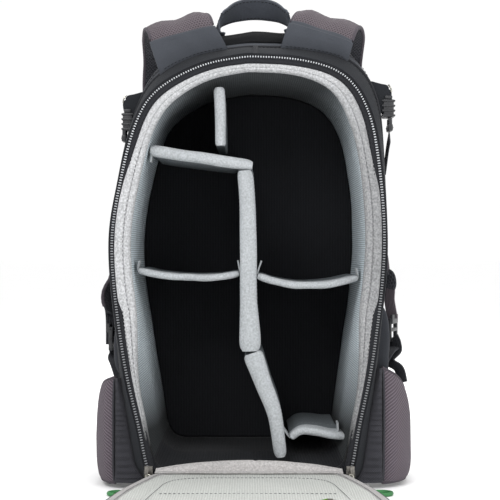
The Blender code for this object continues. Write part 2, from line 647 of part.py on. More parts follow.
# ---- handle ----------------------------------------------------------------------
def make_handle():
    hinge = Vector(HANDLE_HINGE)
    rise = Vector((0.0, math.sin(HANDLE_LEAN), math.cos(HANDLE_LEAN)))
    side = Vector((0.0, math.cos(HANDLE_LEAN), -math.sin(HANDLE_LEAN)))
    profile = [(-1.0, 0.10), (-0.97, 0.38), (-0.72, 0.80), (-0.25, 0.99),
               (0.25, 0.99), (0.72, 0.80), (0.97, 0.38), (1.0, 0.10)]
    arch = [hinge + Vector((u * HANDLE_SPAN, 0, 0)) + rise * v * HANDLE_RISE for u, v in profile]
    path = smooth(arch, 26)
    handle = band("grab_handle", path, [side] * len(path), HANDLE_WIDTH, HANDLE_THICK, "webbing")
    set_origin(handle, hinge)
    points = smooth([(x, HANDLE_HINGE[1], z) for x, z in PATCH_LINE], 9)
    slope = Vector((0.0, 1.0, 0.20))
    band("handle_patch", points, [slope] * len(points), PATCH_WIDTH, PATCH_THICK, "shell_fabric")


# ---- sliders, pulls and cords ------------------------------------------------------
def make_sliders():
    y = RIM_Y - GAP - TAPE - GAP - SLIDER_SIZE[1] / 2
    for side, (x, z) in SLIDERS.items():
        slider = box(f"zip_slider_{side}", (x, y, z), SLIDER_SIZE, "metal", 0.0011)
        set_origin(slider, (x, y, z))
        hinge = Vector((x, y - SLIDER_SIZE[1] / 2 - 0.0016, z - 0.002))
        tip = Vector(CORD_ROUTES[side][0])
        tip = tip + (hinge - tip).normalized() * 0.0006
        path = [hinge.lerp(tip, t / 3) for t in range(4)]
        pull = band(f"zip_pull_{side}", path, [(1, 0, 0)] * 4, 0.0052, 0.0016, "metal")
        set_origin(pull, hinge)


def make_cords():
    for side, route in CORD_ROUTES.items():
        points = smooth(smooth(route, 14), 16)
        curve = bpy.data.curves.new(f"pull_cord_{side}", "CURVE")
        curve.dimensions = "3D"
        curve.bevel_depth = CORD_DIAMETER / 2
        curve.bevel_resolution = 2
        curve.use_fill_caps = True
        spline = curve.splines.new("POLY")
        spline.points.add(len(points) - 1)
        for point, place in zip(spline.points, points):
            point.co = (*place, 1.0)
        curve.materials.append(material("cord"))
        cord = bpy.data.objects.new(f"pull_cord_{side}", curve)
        bpy.context.collection.objects.link(cord)


def main():
    clear_scene()
    make_shell()
    make_liner()
    make_stiffener()
    make_zip_tape()
    make_lip()
    make_base()
    make_front_pocket()
    make_panel()
    make_dividers()
    make_straps()
    make_strap_roots()
    make_side_buckles()
    make_wings()
    make_handle()
    make_sliders()
    make_cords()


main()
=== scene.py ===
"""Looks of the rear-opening camera backpack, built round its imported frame."""
import json
import math

import bmesh
import bpy
import numpy as np
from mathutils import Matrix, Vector


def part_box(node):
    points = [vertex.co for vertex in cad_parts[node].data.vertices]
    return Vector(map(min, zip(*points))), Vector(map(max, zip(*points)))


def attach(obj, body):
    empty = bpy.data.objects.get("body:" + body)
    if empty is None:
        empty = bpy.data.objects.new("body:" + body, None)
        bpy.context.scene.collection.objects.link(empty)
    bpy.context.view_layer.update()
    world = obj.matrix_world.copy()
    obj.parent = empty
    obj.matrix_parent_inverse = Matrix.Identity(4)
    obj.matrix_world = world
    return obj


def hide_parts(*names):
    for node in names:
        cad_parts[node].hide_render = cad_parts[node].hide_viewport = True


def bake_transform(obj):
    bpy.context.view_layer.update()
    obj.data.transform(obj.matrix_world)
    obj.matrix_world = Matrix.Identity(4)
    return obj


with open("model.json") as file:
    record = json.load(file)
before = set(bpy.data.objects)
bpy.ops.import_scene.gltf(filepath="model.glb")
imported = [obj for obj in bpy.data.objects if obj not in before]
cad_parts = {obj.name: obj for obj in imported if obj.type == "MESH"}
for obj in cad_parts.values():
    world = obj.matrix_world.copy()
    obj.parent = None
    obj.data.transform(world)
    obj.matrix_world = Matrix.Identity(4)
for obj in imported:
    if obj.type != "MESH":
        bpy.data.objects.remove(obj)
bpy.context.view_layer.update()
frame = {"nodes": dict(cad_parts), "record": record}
NODES = frame["nodes"]
UP = np.array((0.0, 0.0, 1.0))
TO_CAMERA = np.array((0.0, -1.0, 0.0))
AROUND = 288  # points round a large outline
LEFT_RIGHT = (("left", -1), ("right", 1))
AB = (("a", -1), ("b", 1))


# ---- camera, floor and light ---------------------------------------------------------
RIM_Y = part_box("outer_shell")[0].y  # plane of the opening
CAMERA_DISTANCE = 1.4
VIEW_WIDTH = 0.51  # what the camera sees across the plane of the opening
VIEW_MIDDLE = (0.002, 0.2448)


def make_camera():
    camera = bpy.data.objects.new("camera", bpy.data.cameras.new("camera"))
    bpy.context.collection.objects.link(camera)
    camera.location = (VIEW_MIDDLE[0], RIM_Y - CAMERA_DISTANCE, VIEW_MIDDLE[1])
    camera.rotation_euler = (math.radians(90), 0, 0)
    camera.data.sensor_width = 36.0
    camera.data.lens = camera.data.sensor_width * CAMERA_DISTANCE / VIEW_WIDTH
    bpy.context.scene.camera = camera


def area_light(name, place, aim, size, power, color=(1, 1, 1)):
    light = bpy.data.lights.new(name, "AREA")
    light.shape, light.size, light.size_y = "RECTANGLE", size[0], size[1]
    light.energy, light.color = power, color
    obj = bpy.data.objects.new(name, light)
    obj.location = place
    obj.rotation_euler = (Vector(aim) - Vector(place)).to_track_quat("-Z", "Y").to_euler()
    bpy.context.collection.objects.link(obj)


def make_stage():
    world = bpy.data.worlds.new("studio")
    bpy.context.scene.world = world
    world.use_nodes = True
    world.node_tree.nodes["Background"].inputs["Color"].default_value = (1, 1, 1, 1)
    world.node_tree.nodes["Background"].inputs["Strength"].default_value = 1.02
    area_light("key", (-0.7, -1.5, 1.5), (0, 0, 0.28), (0.9, 0.9), 13.0)
    area_light("fill", (1.1, -1.3, 0.8), (0, 0, 0.22), (0.8, 1.2), 7.0)
    area_light("top", (0.1, 0.2, 1.7), (0, 0, 0.3), (1.2, 0.8), 10.0)
    area_light("back", (0.2, 1.7, 1.1), (0, 0, 0.2), (1.4, 1.2), 9.0)
    rings = [[(r * math.cos(a), r * math.sin(a), 0.0) for a in np.linspace(0, 2 * math.pi, 65)[:-1]]
        for r in (30.0, 3.0, 0.01)]
    floor = surface("floor", rings, "studio_floor", across=True)


# ---- curves ---------------------------------------------------------------------------
def resample(points, count, closed=False):
    pts = np.asarray(points, float)
    if closed:
        pts = np.vstack([pts, pts[:1]])
    along = np.concatenate([[0], np.cumsum(np.linalg.norm(np.diff(pts, axis=0), axis=1))])
    at = np.linspace(0, along[-1], count + 1)[:-1] if closed else np.linspace(0, along[-1], count)
    return np.stack([np.interp(at, along, pts[:, k]) for k in range(pts.shape[1])], axis=1)


def curve(points, count):
    """count evenly spaced points on a smooth curve through the given points."""
    p = np.asarray(points, float)
    p = np.vstack([2 * p[0] - p[1], p, 2 * p[-1] - p[-2]])
    t = np.linspace(0, 1, 16, endpoint=False)[:, None]
    fine = [0.5 * (2 * b + (c - a) * t + (2 * a - 5 * b + 4 * c - d) * t**2 + (3 * b - a - 3 * c + d) * t**3)
        for a, b, c, d in zip(p, p[1:], p[2:], p[3:])]
    return resample(np.vstack([*fine, p[-2][None]]), count)


def unit(v):
    return v / np.maximum(np.linalg.norm(v, axis=-1, keepdims=True), 1e-12)


def tangents(path, closed=False):
    if closed:
        return unit(np.roll(path, -1, axis=0) - np.roll(path, 1, axis=0))
    return unit(np.gradient(path, axis=0))


def length_of(path):
    return float(np.linalg.norm(np.diff(path, axis=0), axis=1).sum())


def turns_of(count):
    return np.linspace(0, 2 * math.pi, count, endpoint=False)


def ease(t):
    t = np.clip(t, 0, 1)
    return t * t * (3 - 2 * t)


def ripple(points, wavelength, seed=1, waves=5):
    """A smooth unevenness, about -1 to 1, that is the same at each run."""
    rng = np.random.default_rng(seed)
    total = np.zeros(len(points))
    for _ in range(waves):
        way = rng.normal(size=3)
        way = way / np.linalg.norm(way) * rng.uniform(0.6, 1.5)
        total += np.sin(points @ way * 2 * math.pi / wavelength + rng.uniform(0, 6.28))
    return total / waves * 1.6


# ---- outlines cut from the frame ---------------------------------------------------------
def section(node, axis, at, rank=0, count=AROUND):
    """The outline where a plane cuts a CAD node: up the left side from the middle of its bottom, then down
    the right. axis 1 cuts across Y and gives (x, z); axis 2 cuts across Z and gives (x, -y)."""
    bm = bmesh.new()
    bm.from_mesh(NODES[node].data)
    bmesh.ops.remove_doubles(bm, verts=bm.verts, dist=1e-6)
    normal = Vector((0, 1, 0)) if axis == 1 else Vector((0, 0, 1))
    found = bmesh.ops.bisect_plane(bm, geom=[*bm.verts, *bm.edges, *bm.faces], plane_co=normal * at,
        plane_no=normal)
    bm.verts.index_update()
    edges = [e for e in found["geom_cut"] if isinstance(e, bmesh.types.BMEdge)]
    links = {}
    for e in edges:
        for a, b in ((e.verts[0], e.verts[1]), (e.verts[1], e.verts[0])):
            links.setdefault(a, []).append(b)
    loops = []
    left = set(links)
    while left:
        start = min(left, key=lambda v: v.index)
        loop, before, here = [], None, start
        while here is not None and here in left:
            loop.append(here.co.copy())
            left.discard(here)
            ahead = [v for v in links[here] if v in left]
            here = ahead[0] if ahead else None
        loops.append(loop)
    flat = [np.array([(p.x, p.z) if axis == 1 else (p.x, -p.y) for p in loop]) for loop in loops
        if len(loop) > 2]
    bm.free()
    flat.sort(key=lambda p: -length_of(np.vstack([p, p[:1]])))
    dense = resample(flat[rank], 2400, closed=True)
    low, high = dense.min(0), dense.max(0)
    middle = (low + high) / 2
    aside = np.abs(dense[:, 0] - middle[0])
    dense = np.roll(dense, -int(np.argmin(aside + (dense[:, 1] > middle[1]))), axis=0)
    aside = np.abs(dense[:, 0] - middle[0])
    top = int(np.argmin(aside + (dense[:, 1] < middle[1])))
    one, two = dense[: top + 1], np.vstack([dense[top:], dense[:1]])
    if one[:, 0].mean() > middle[0]:
        one, two = two[::-1], one[::-1]
    half = count // 2
    ring = np.vstack([resample(one, half + 1)[:-1], resample(two, half + 1)[:-1]])
    for _ in range(3):
        ring = (np.roll(ring, 1, axis=0) + 2 * ring + np.roll(ring, -1, axis=0)) / 4
    return ring


def outward(ring, closed=True):
    t = tangents(ring, closed)
    return np.stack([-t[:, 1], t[:, 0]], axis=1)


def shrink(ring, distance):
    """The outline moved inwards, by one distance or by one for each point."""
    return ring - outward(ring) * np.reshape(distance, (-1, 1))


def closing(last, shares, depth):
    """Ever smaller copies of a standing outline, which close it; depth gives each one's place along Y."""
    middle = last.mean(0)
    rings = []
    for f in shares:
        ring = middle + (last - middle) * f
        ring[:, 1] = depth(f, ring)
        rings.append(ring)
    return rings


def standing(ring, y):
    return np.stack([ring[:, 0], ring[:, 0] * 0 + y, ring[:, 1]], axis=1)


def lying(ring, z):
    return np.stack([ring[:, 0], -ring[:, 1], ring[:, 0] * 0 + z], axis=1)


# ---- meshes ----------------------------------------------------------------------------
def mesh_object(name, verts, faces, materials, uvs=None, zones=None, tones=None):
    """A smooth mesh. materials names them, by their keys in M; zones has the number of each face's one."""
    mesh = bpy.data.meshes.new(name)
    mesh.from_pydata(np.asarray(verts).tolist(), [], faces)
    for key in materials.split():
        mesh.materials.append(M[key])
    if zones is not None:
        mesh.polygons.foreach_set("material_index", np.asarray(zones, np.int32))
    if uvs is not None:
        mesh.uv_layers.new(name="UVMap").data.foreach_set("uv", np.asarray(uvs, np.float32).ravel())
    if tones is not None:
        mesh.attributes.new("tone", "FLOAT", "POINT").data.foreach_set("value", np.asarray(tones, np.float32))
    bm = bmesh.new()
    bm.from_mesh(mesh)
    bmesh.ops.recalc_face_normals(bm, faces=bm.faces)
    bm.to_mesh(mesh)
    bm.free()
    mesh.shade_smooth()
    mesh.set_sharp_from_angle(angle=math.radians(40))
    obj = bpy.data.objects.new(name, mesh)
    bpy.context.collection.objects.link(obj)
    return obj


def surface(name, rows, materials, across=False, along=False, caps=False, zones=None, planar=None):
    """A mesh through a grid of points, with UVs in metres. across closes each row, along joins the last row to
    the first, and caps fills the first and last rows. planar gives the two axes that the UVs are read from."""
    rows = np.asarray(rows, float)
    count, width = rows.shape[:2]
    verts = rows.reshape(-1, 3)
    u = np.concatenate([[0], np.cumsum(np.linalg.norm(np.roll(rows, -1, axis=1) - rows, axis=2).mean(0))])
    v = np.concatenate([[0], np.cumsum(np.linalg.norm(np.roll(rows, -1, axis=0) - rows, axis=2).mean(1))])
    cols, lines = (width if across else width - 1), (count if along else count - 1)
    r, c = (g.ravel() for g in np.meshgrid(np.arange(lines), np.arange(cols), indexing="ij"))
    r1, c1 = (r + 1) % count, (c + 1) % width
    faces = np.stack([r * width + c, r * width + c1, r1 * width + c1, r1 * width + c], axis=1)
    if planar is not None:
        uvs = verts[faces][:, :, list(planar)]
    else:
        uvs = np.stack([np.stack([u[c], v[r]], 1), np.stack([u[c + 1], v[r]], 1),
            np.stack([u[c + 1], v[r + 1]], 1), np.stack([u[c], v[r + 1]], 1)], axis=1)
    faces, uvs = faces.tolist(), uvs.reshape(-1, 2)
    zones = np.zeros(len(faces), int) if zones is None else np.asarray(zones).ravel()
    if caps:
        for start in (0, (count - 1) * width):
            ring = list(range(start, start + width))
            faces.append(ring)
            near = verts[ring] - verts[ring].mean(0)
            axes = np.argsort(-near.std(0))[:2]
            uvs = np.vstack([uvs, near[:, axes]])
        zones = np.concatenate([zones, zones[:1], zones[-1:]])
    return mesh_object(name, verts, faces, materials, uvs, zones)


def thickened(obj, thickness):
    modifier = obj.modifiers.new("thickness", "SOLIDIFY")
    modifier.thickness, modifier.offset = thickness, 0.0
    return obj


def across_of(path, sides, closed=False):
    """Width and face directions along a path."""
    t = tangents(path, closed)
    sides = np.broadcast_to(np.asarray(sides, float), path.shape)
    sides = unit(sides - t * (sides * t).sum(1, keepdims=True))
    return sides, np.cross(t, sides)


def tube(name, path, radius, materials, closed=False, sides=8, flat=None):
    path = np.asarray(path, float)
    ref = UP if flat is None else np.asarray(flat, float)
    t = tangents(path, closed)
    ref = np.broadcast_to(ref, path.shape).copy()
    steep = np.abs((ref * t).sum(1)) > 0.97
    ref[steep] = (1.0, 0.0, 0.0)
    side, up = across_of(path, ref, closed)
    radius = np.broadcast_to(np.asarray(radius, float), (len(path),))[:, None]
    rows = np.stack([path + (side * math.cos(a) + up * math.sin(a)) * radius for a in turns_of(sides)], axis=1)
    return surface(name, rows, materials, across=True, along=closed, caps=not closed)


def ribbon_rows(path, sides, width, thick, crown=0.0, edge=0.35, steps=10, closed=False):
    """Closed sections of a flat strip: its face first, then its back."""
    side, up = across_of(path, sides, closed)
    width = np.broadcast_to(np.asarray(width, float), (len(path),))[:, None]
    thick = np.broadcast_to(np.asarray(thick, float), (len(path),))[:, None]
    rows = []
    spots = np.sin(np.linspace(-1, 1, steps) * math.pi / 2)
    for sign, order in ((1, spots), (-1, spots[::-1])):
        for s in order:
            height = edge + (1 - edge) * (1 - abs(s) ** (6 if not crown else 3)) + crown * (1 - s * s)
            rows.append(path + side * width * 0.5 * s + up * thick * 0.5 * sign * height)
    return np.stack(rows, axis=1)


def ribbon(name, path, sides, width, thick, materials, closed=False, **shape):
    rows = ribbon_rows(path, sides, width, thick, closed=closed, **shape)
    return surface(name, rows, materials, across=True, along=closed, caps=not closed)


def pillow(name, ring, place, low, high, materials, bulge=0.0, edge=0.002, rows=14, planar=None, wave=None):
    """A closed pad: a flat back at low, a rounded edge and a crowned face whose middle is at high + bulge."""
    centre = ring.mean(0)
    lines = [place(centre + (shrink(ring, edge) - centre) * f, low) for f in (0.02, 0.5, 1.0)]
    span = high - low
    for share in (0.12, 0.3, 0.5, 0.7, 0.88):
        d = edge * (1 - math.sin(share * math.pi)) * (0.6 if share < 0.5 else 1.0)
        lines.append(place(shrink(ring, d), low + span * share))
    lines.append(place(shrink(ring, edge), high - span * 0.04))
    inner = shrink(ring, edge)
    for f in np.linspace(1, 0, rows + 1)[1:]:
        f = max(f, 0.015)
        spot = centre + (inner - centre) * f
        lines.append(place(spot, high + bulge * (1 - f**3)))
    lines = np.array(lines)
    if wave is not None:
        face = lines[9:].reshape(-1, 3)
        face[:, 2] += wave(face)
    return surface(name, lines, materials, across=True, caps=True, planar=planar)


def block(size, bevel, segments=2):
    """A rounded block's points and faces."""
    bm = bmesh.new()
    bmesh.ops.create_cube(bm, size=1.0)
    bmesh.ops.scale(bm, vec=Vector(size), verts=bm.verts)
    bmesh.ops.bevel(bm, geom=list(bm.edges), offset=bevel, segments=segments, affect="EDGES", profile=0.6)
    verts = np.array([v.co for v in bm.verts])
    faces = [[v.index for v in f.verts] for f in bm.faces]
    bm.free()
    return verts, faces


def pill(length, radius, sides=6):
    """A short thread's points and faces, lying along X."""
    rings = [(-0.5, 0.25), (-0.38, 0.85), (0.0, 1.0), (0.38, 0.85), (0.5, 0.25)]
    verts = [(length * x, radius * r * math.cos(a), radius * r * math.sin(a)) for x, r in rings
        for a in turns_of(sides)]
    faces = [[r * sides + i, r * sides + (i + 1) % sides, (r + 1) * sides + (i + 1) % sides,
        (r + 1) * sides + i] for r in range(len(rings) - 1) for i in range(sides)]
    faces += [list(range(sides)), [4 * sides + i for i in range(sides)]]
    return np.array(verts), faces


def stamped(name, shape, places, turns, materials, tones=None):
    """One mesh that holds a copy of a shape at each place; turns has the directions of its X, Y and Z."""
    verts, faces = shape
    moved = np.einsum("nj,kji->kni", verts, turns) + places[:, None, :]
    n = len(verts)
    all_faces = [[i + k * n for i in f] for k in range(len(places)) for f in faces]
    tones = None if tones is None else np.repeat(tones, n)
    return mesh_object(name, moved.reshape(-1, 3), all_faces, materials, tones=tones)


def stitches(name, path, facing, material="dark_thread", length=0.0026, gap=0.0014, radius=0.00036,
        closed=False):
    """Threads along a path, lying on the surface whose normal is facing."""
    path = np.asarray(path, float)
    total = length_of(np.vstack([path, path[:1]]) if closed else path)
    count = max(2, int(total / (length + gap)))
    line = np.vstack([path, path[:1]]) if closed else path
    spots = resample(line, count * 2 + 1)[1::2]
    facing = np.broadcast_to(np.asarray(facing, float), path.shape)
    if closed:
        facing = np.vstack([facing, facing[:1]])
    n = unit(resample_like(facing, line, count * 2 + 1)[1::2])
    t = unit(np.gradient(spots, axis=0)) if len(spots) > 1 else tangents(line)[:1]
    n = unit(n - t * (n * t).sum(1, keepdims=True))
    turns = np.stack([t, np.cross(n, t), n], axis=1)
    return stamped(name, pill(length, radius), spots + n * radius * 0.35, turns, material)


def resample_like(values, line, count):
    along = np.concatenate([[0], np.cumsum(np.linalg.norm(np.diff(line, axis=0), axis=1))])
    at = np.linspace(0, along[-1], count)
    return np.stack([np.interp(at, along, values[:, k]) for k in range(3)], axis=1)


def put(obj, body="bag", slot="shell_fabric", *nodes):
    """Makes obj ride on a body and hides the CAD nodes it stands for; slot is not used."""
    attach(obj, body)
    if nodes:
        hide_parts(*nodes)
    return obj


def assembly(name, parts, material, spin=None):
    """Rounded blocks as one moulded piece: (middle, size, bevel) each."""
    verts, faces = [], []
    for middle, size, bevel in parts:
        v, f = block(size, bevel)
        v = v + np.asarray(middle, float)
        faces += [[i + sum(len(x) for x in verts) for i in face] for face in f]
        verts.append(v)
    verts = np.vstack(verts)
    if spin is not None:
        centre, angle = np.asarray(spin[0], float), spin[1]
        c, s = math.cos(angle), math.sin(angle)
        away = verts - centre
        verts = np.stack([away[:, 0] * c - away[:, 1] * s, away[:, 0] * s + away[:, 1] * c, away[:, 2]],
            axis=1) + centre
    return mesh_object(name, verts, faces, material)


def plastic_part(node, ending, parts, spin=None):
    """A moulded piece made of blocks, in place of its CAD node."""
    put(assembly(f"{node}_{ending}", parts, "plastic", spin), BODY_OF[node], "plastic", node)


def middle_of(node):
    low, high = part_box(node)
    return np.array((low + high) / 2), np.array(high - low)


def web(name, points, count, facing, width, thick, *nodes, material="webbing", body="bag", edge=0.7):
    """A length of webbing through the given points."""
    put(ribbon(name, curve(points, count), facing, width, thick, material, edge=edge), body, "webbing", *nodes)


def patch(name, outline, count, low, high, material, bulge, edge, turned):
    """An upright pad of cloth with the given corners, which turned puts in the opposite order."""
    outline = curve(outline + outline[:1], count)[:-1]
    return pillow(name, outline[::-1] if turned else outline, standing, low, high, material, bulge=bulge,
        edge=edge, rows=8, planar=(0, 2))


# ---- materials --------------------------------------------------------------------------
def srgb(color, factor=1.0):
    """A colour given in 0 to 255, as the linear one that Blender wants, made lighter or darker."""
    linear = (c / 255 / 12.92 if c < 11 else ((c / 255 + 0.055) / 1.055) ** 2.4 for c in color)
    return tuple(min(1.0, c * factor) for c in linear) + (1.0,)


class Shade:
    """A material being built, with the place of each point in metres."""

    def __init__(self, name, uv=True):
        self.material = bpy.data.materials.new(name)
        self.material.use_nodes = True
        self.tree = self.material.node_tree
        self.shader = self.tree.nodes["Principled BSDF"]
        coords = self.add("ShaderNodeTexCoord")
        self.object_place = coords.outputs["Object"]
        self.place = coords.outputs["UV"] if uv else self.object_place
        split = self.add("ShaderNodeSeparateXYZ", {"Vector": self.place})
        self.x, self.y, self.z = split.outputs

    def add(self, kind, inputs=None, **settings):
        made = self.tree.nodes.new(kind)
        for key, value in settings.items():
            setattr(made, key, value)
        for key, value in (inputs or {}).items():
            if isinstance(value, bpy.types.NodeSocket):
                self.tree.links.new(value, made.inputs[key])
            else:
                made.inputs[key].default_value = value
        return made

    def math(self, operation, a, b=0.0):
        return self.add("ShaderNodeMath", {0: a, 1: b}, operation=operation).outputs[0]

    def sum(self, a, b):
        return self.math("ADD", a, b)

    def times(self, a, b):
        return self.math("MULTIPLY", a, b)

    def wave(self, at, pitch, shift=0.0):
        turned = self.times(at, 2 * math.pi / pitch)
        if shift:
            turned = self.sum(turned, shift)
        return self.math("SINE", turned)

    def noise(self, scale, detail=2.0, place=None):
        found = self.add("ShaderNodeTexNoise", {"Vector": place or self.object_place, "Scale": scale,
            "Detail": detail})
        return found.outputs[0]

    def ramp(self, value, low, high):
        """value from low to high as 0 to 1."""
        found = self.add("ShaderNodeMapRange", {0: value, 1: low, 2: high, 3: 0.0, 4: 1.0})
        return found.outputs[0]

    def mix(self, share, a, b):
        return self.add("ShaderNodeMix", {0: share, 6: a, 7: b}, data_type="RGBA").outputs[2]

    def finish(self, color, rough, height, depth, strength=1.0):
        bump = self.add("ShaderNodeBump", {"Height": height, "Distance": depth, "Strength": strength})
        self.tree.links.new(bump.outputs[0], self.shader.inputs["Normal"])
        for socket, value in (("Base Color", color), ("Roughness", rough)):
            if isinstance(value, bpy.types.NodeSocket):
                self.tree.links.new(value, self.shader.inputs[socket])
            else:
                self.shader.inputs[socket].default_value = value
        return self.material


def fabric(name, color, kind="plain", pitch=0.001, contrast=0.22, mottle=0.16, rough=0.88, depth=0.00025,
        sheen=0.04, gloss=0.14, speck=0.0, uv=True, painted_shades=()):
    """Woven or knitted cloth: threads of the given pitch, uneven dye, flecks, and a slight sheen, with any fade
    given as painted shade.
    """
    s = Shade(name, uv)
    if kind == "plain":
        weave = s.times(s.wave(s.x, pitch), s.wave(s.y, pitch))
        if not uv:
            weave = s.sum(weave, s.times(s.wave(s.z, pitch), s.wave(s.sum(s.x, s.y), pitch)))
    elif kind == "twill":
        weave = s.wave(s.sum(s.x, s.y), pitch)
    elif kind == "ribs":
        weave = s.sum(s.wave(s.x, pitch), s.times(s.wave(s.y, pitch * 0.62), 0.35))
    elif kind == "cords":
        weave = s.sum(s.wave(s.y, pitch), s.times(s.wave(s.x, pitch * 0.62), 0.35))
    elif kind == "mesh":
        a = s.wave(s.y, pitch * 0.87)
        b = s.wave(s.sum(s.times(s.x, 0.866), s.times(s.y, 0.5)), pitch * 0.87, 2.1)
        c = s.wave(s.math("SUBTRACT", s.times(s.x, 0.866), s.times(s.y, 0.5)), pitch * 0.87, 4.2)
        weave = s.times(s.sum(s.sum(a, b), c), -0.5)
        weave = s.math("MAXIMUM", weave, -0.9)
    else:  # ridged
        slope = s.sum(s.x, s.times(s.y, 0.75))
        weave = s.sum(s.wave(slope, pitch), s.times(s.wave(s.y, pitch * 0.4), 0.3))
    cloud, fine = s.noise(18.0, 3.0), s.noise(900.0, 1.0)
    share = s.sum(s.times(weave, contrast), s.times(s.math("SUBTRACT", cloud, 0.5), mottle * 5))
    share = s.sum(s.sum(share, 0.5), s.times(s.math("SUBTRACT", fine, 0.5), mottle * 2.5))
    if speck:
        fleck = s.math("SUBTRACT", s.noise(520.0, 2.0), 0.5)
        share = s.sum(share, s.times(fleck, speck * 8))
    shade = s.mix(s.ramp(share, 0.0, 1.0), srgb(color, 0.66), srgb(color, 1.32))
    # painted shade: each fade scales the colour from 1 at start to factor at end, along one axis of the object
    for axis, start, end, factor in painted_shades:
        place = s.add("ShaderNodeSeparateXYZ", {"Vector": s.object_place}).outputs[axis]
        scale = s.add("ShaderNodeMapRange", {0: place, 1: start, 2: end, 3: 1.0, 4: factor}).outputs[0]
        shade = s.add("ShaderNodeVectorMath", {0: shade, 3: scale}, operation="SCALE").outputs[0]
    height = s.sum(s.times(weave, 0.5), s.times(fine, 0.7))
    roughness = s.sum(s.times(cloud, 0.16), rough - 0.08)
    s.shader.inputs["Sheen Weight"].default_value = sheen
    s.shader.inputs["Sheen Roughness"].default_value = 0.5
    s.shader.inputs["Specular IOR Level"].default_value = gloss
    return s.finish(shade, roughness, height, depth)


def plastic(name, color, rough=0.42):
    """Moulded plastic: a fine spark-eroded grain and rubbed patches."""
    s = Shade(name, uv=False)
    cloud, grain = s.noise(60.0, 3.0), s.noise(2600.0, 2.0)
    shade = s.mix(s.ramp(cloud, 0.35, 0.7), srgb(color, 0.8), srgb(color, 1.35))
    roughness = s.sum(s.times(s.noise(220.0, 2.0), 0.22), rough - 0.11)
    return s.finish(shade, roughness, grain, 0.00012, 0.6)


def metal(name, color, rough=0.3):
    """Cast and plated metal with small dents and uneven rubbed patches."""
    s = Shade(name, uv=False)
    s.shader.inputs["Metallic"].default_value = 1.0
    cloud = s.noise(420.0, 3.0)
    shade = s.mix(s.ramp(cloud, 0.3, 0.75), srgb(color, 0.7), srgb(color, 1.15))
    roughness = s.sum(s.times(cloud, 0.25), rough - 0.12)
    return s.finish(shade, roughness, s.noise(1500.0, 2.0), 0.0001, 0.5)


def coil_material():
    """Nylon coil: black lower down, with a painted highlight round the top of the opening, where light catches
    the glossy teeth.
    """
    s = Shade("coil_teeth", uv=False)
    tone = s.add("ShaderNodeAttribute", attribute_name="tone").outputs["Fac"]
    cloud = s.noise(700.0, 1.0)
    # the tone attribute mixes the black coil towards light grey: a painted highlight on the upper teeth
    shade = s.mix(tone, srgb((46, 47, 50)), srgb((206, 209, 213)))
    shade = s.mix(s.ramp(cloud, 0.45, 1.2), shade, srgb((120, 122, 128)))
    return s.finish(shade, s.sum(s.times(cloud, 0.2), 0.28), cloud, 0.0001, 0.4)


def floor_material():
    s = Shade("studio_floor", uv=False)
    shade = s.mix(s.ramp(s.noise(3.0), 0.3, 0.7), (0.97, 0.97, 0.97, 1), (0.985, 0.985, 0.985, 1))
    return s.finish(shade, 0.9, s.noise(40.0), 0.0002, 0.2)


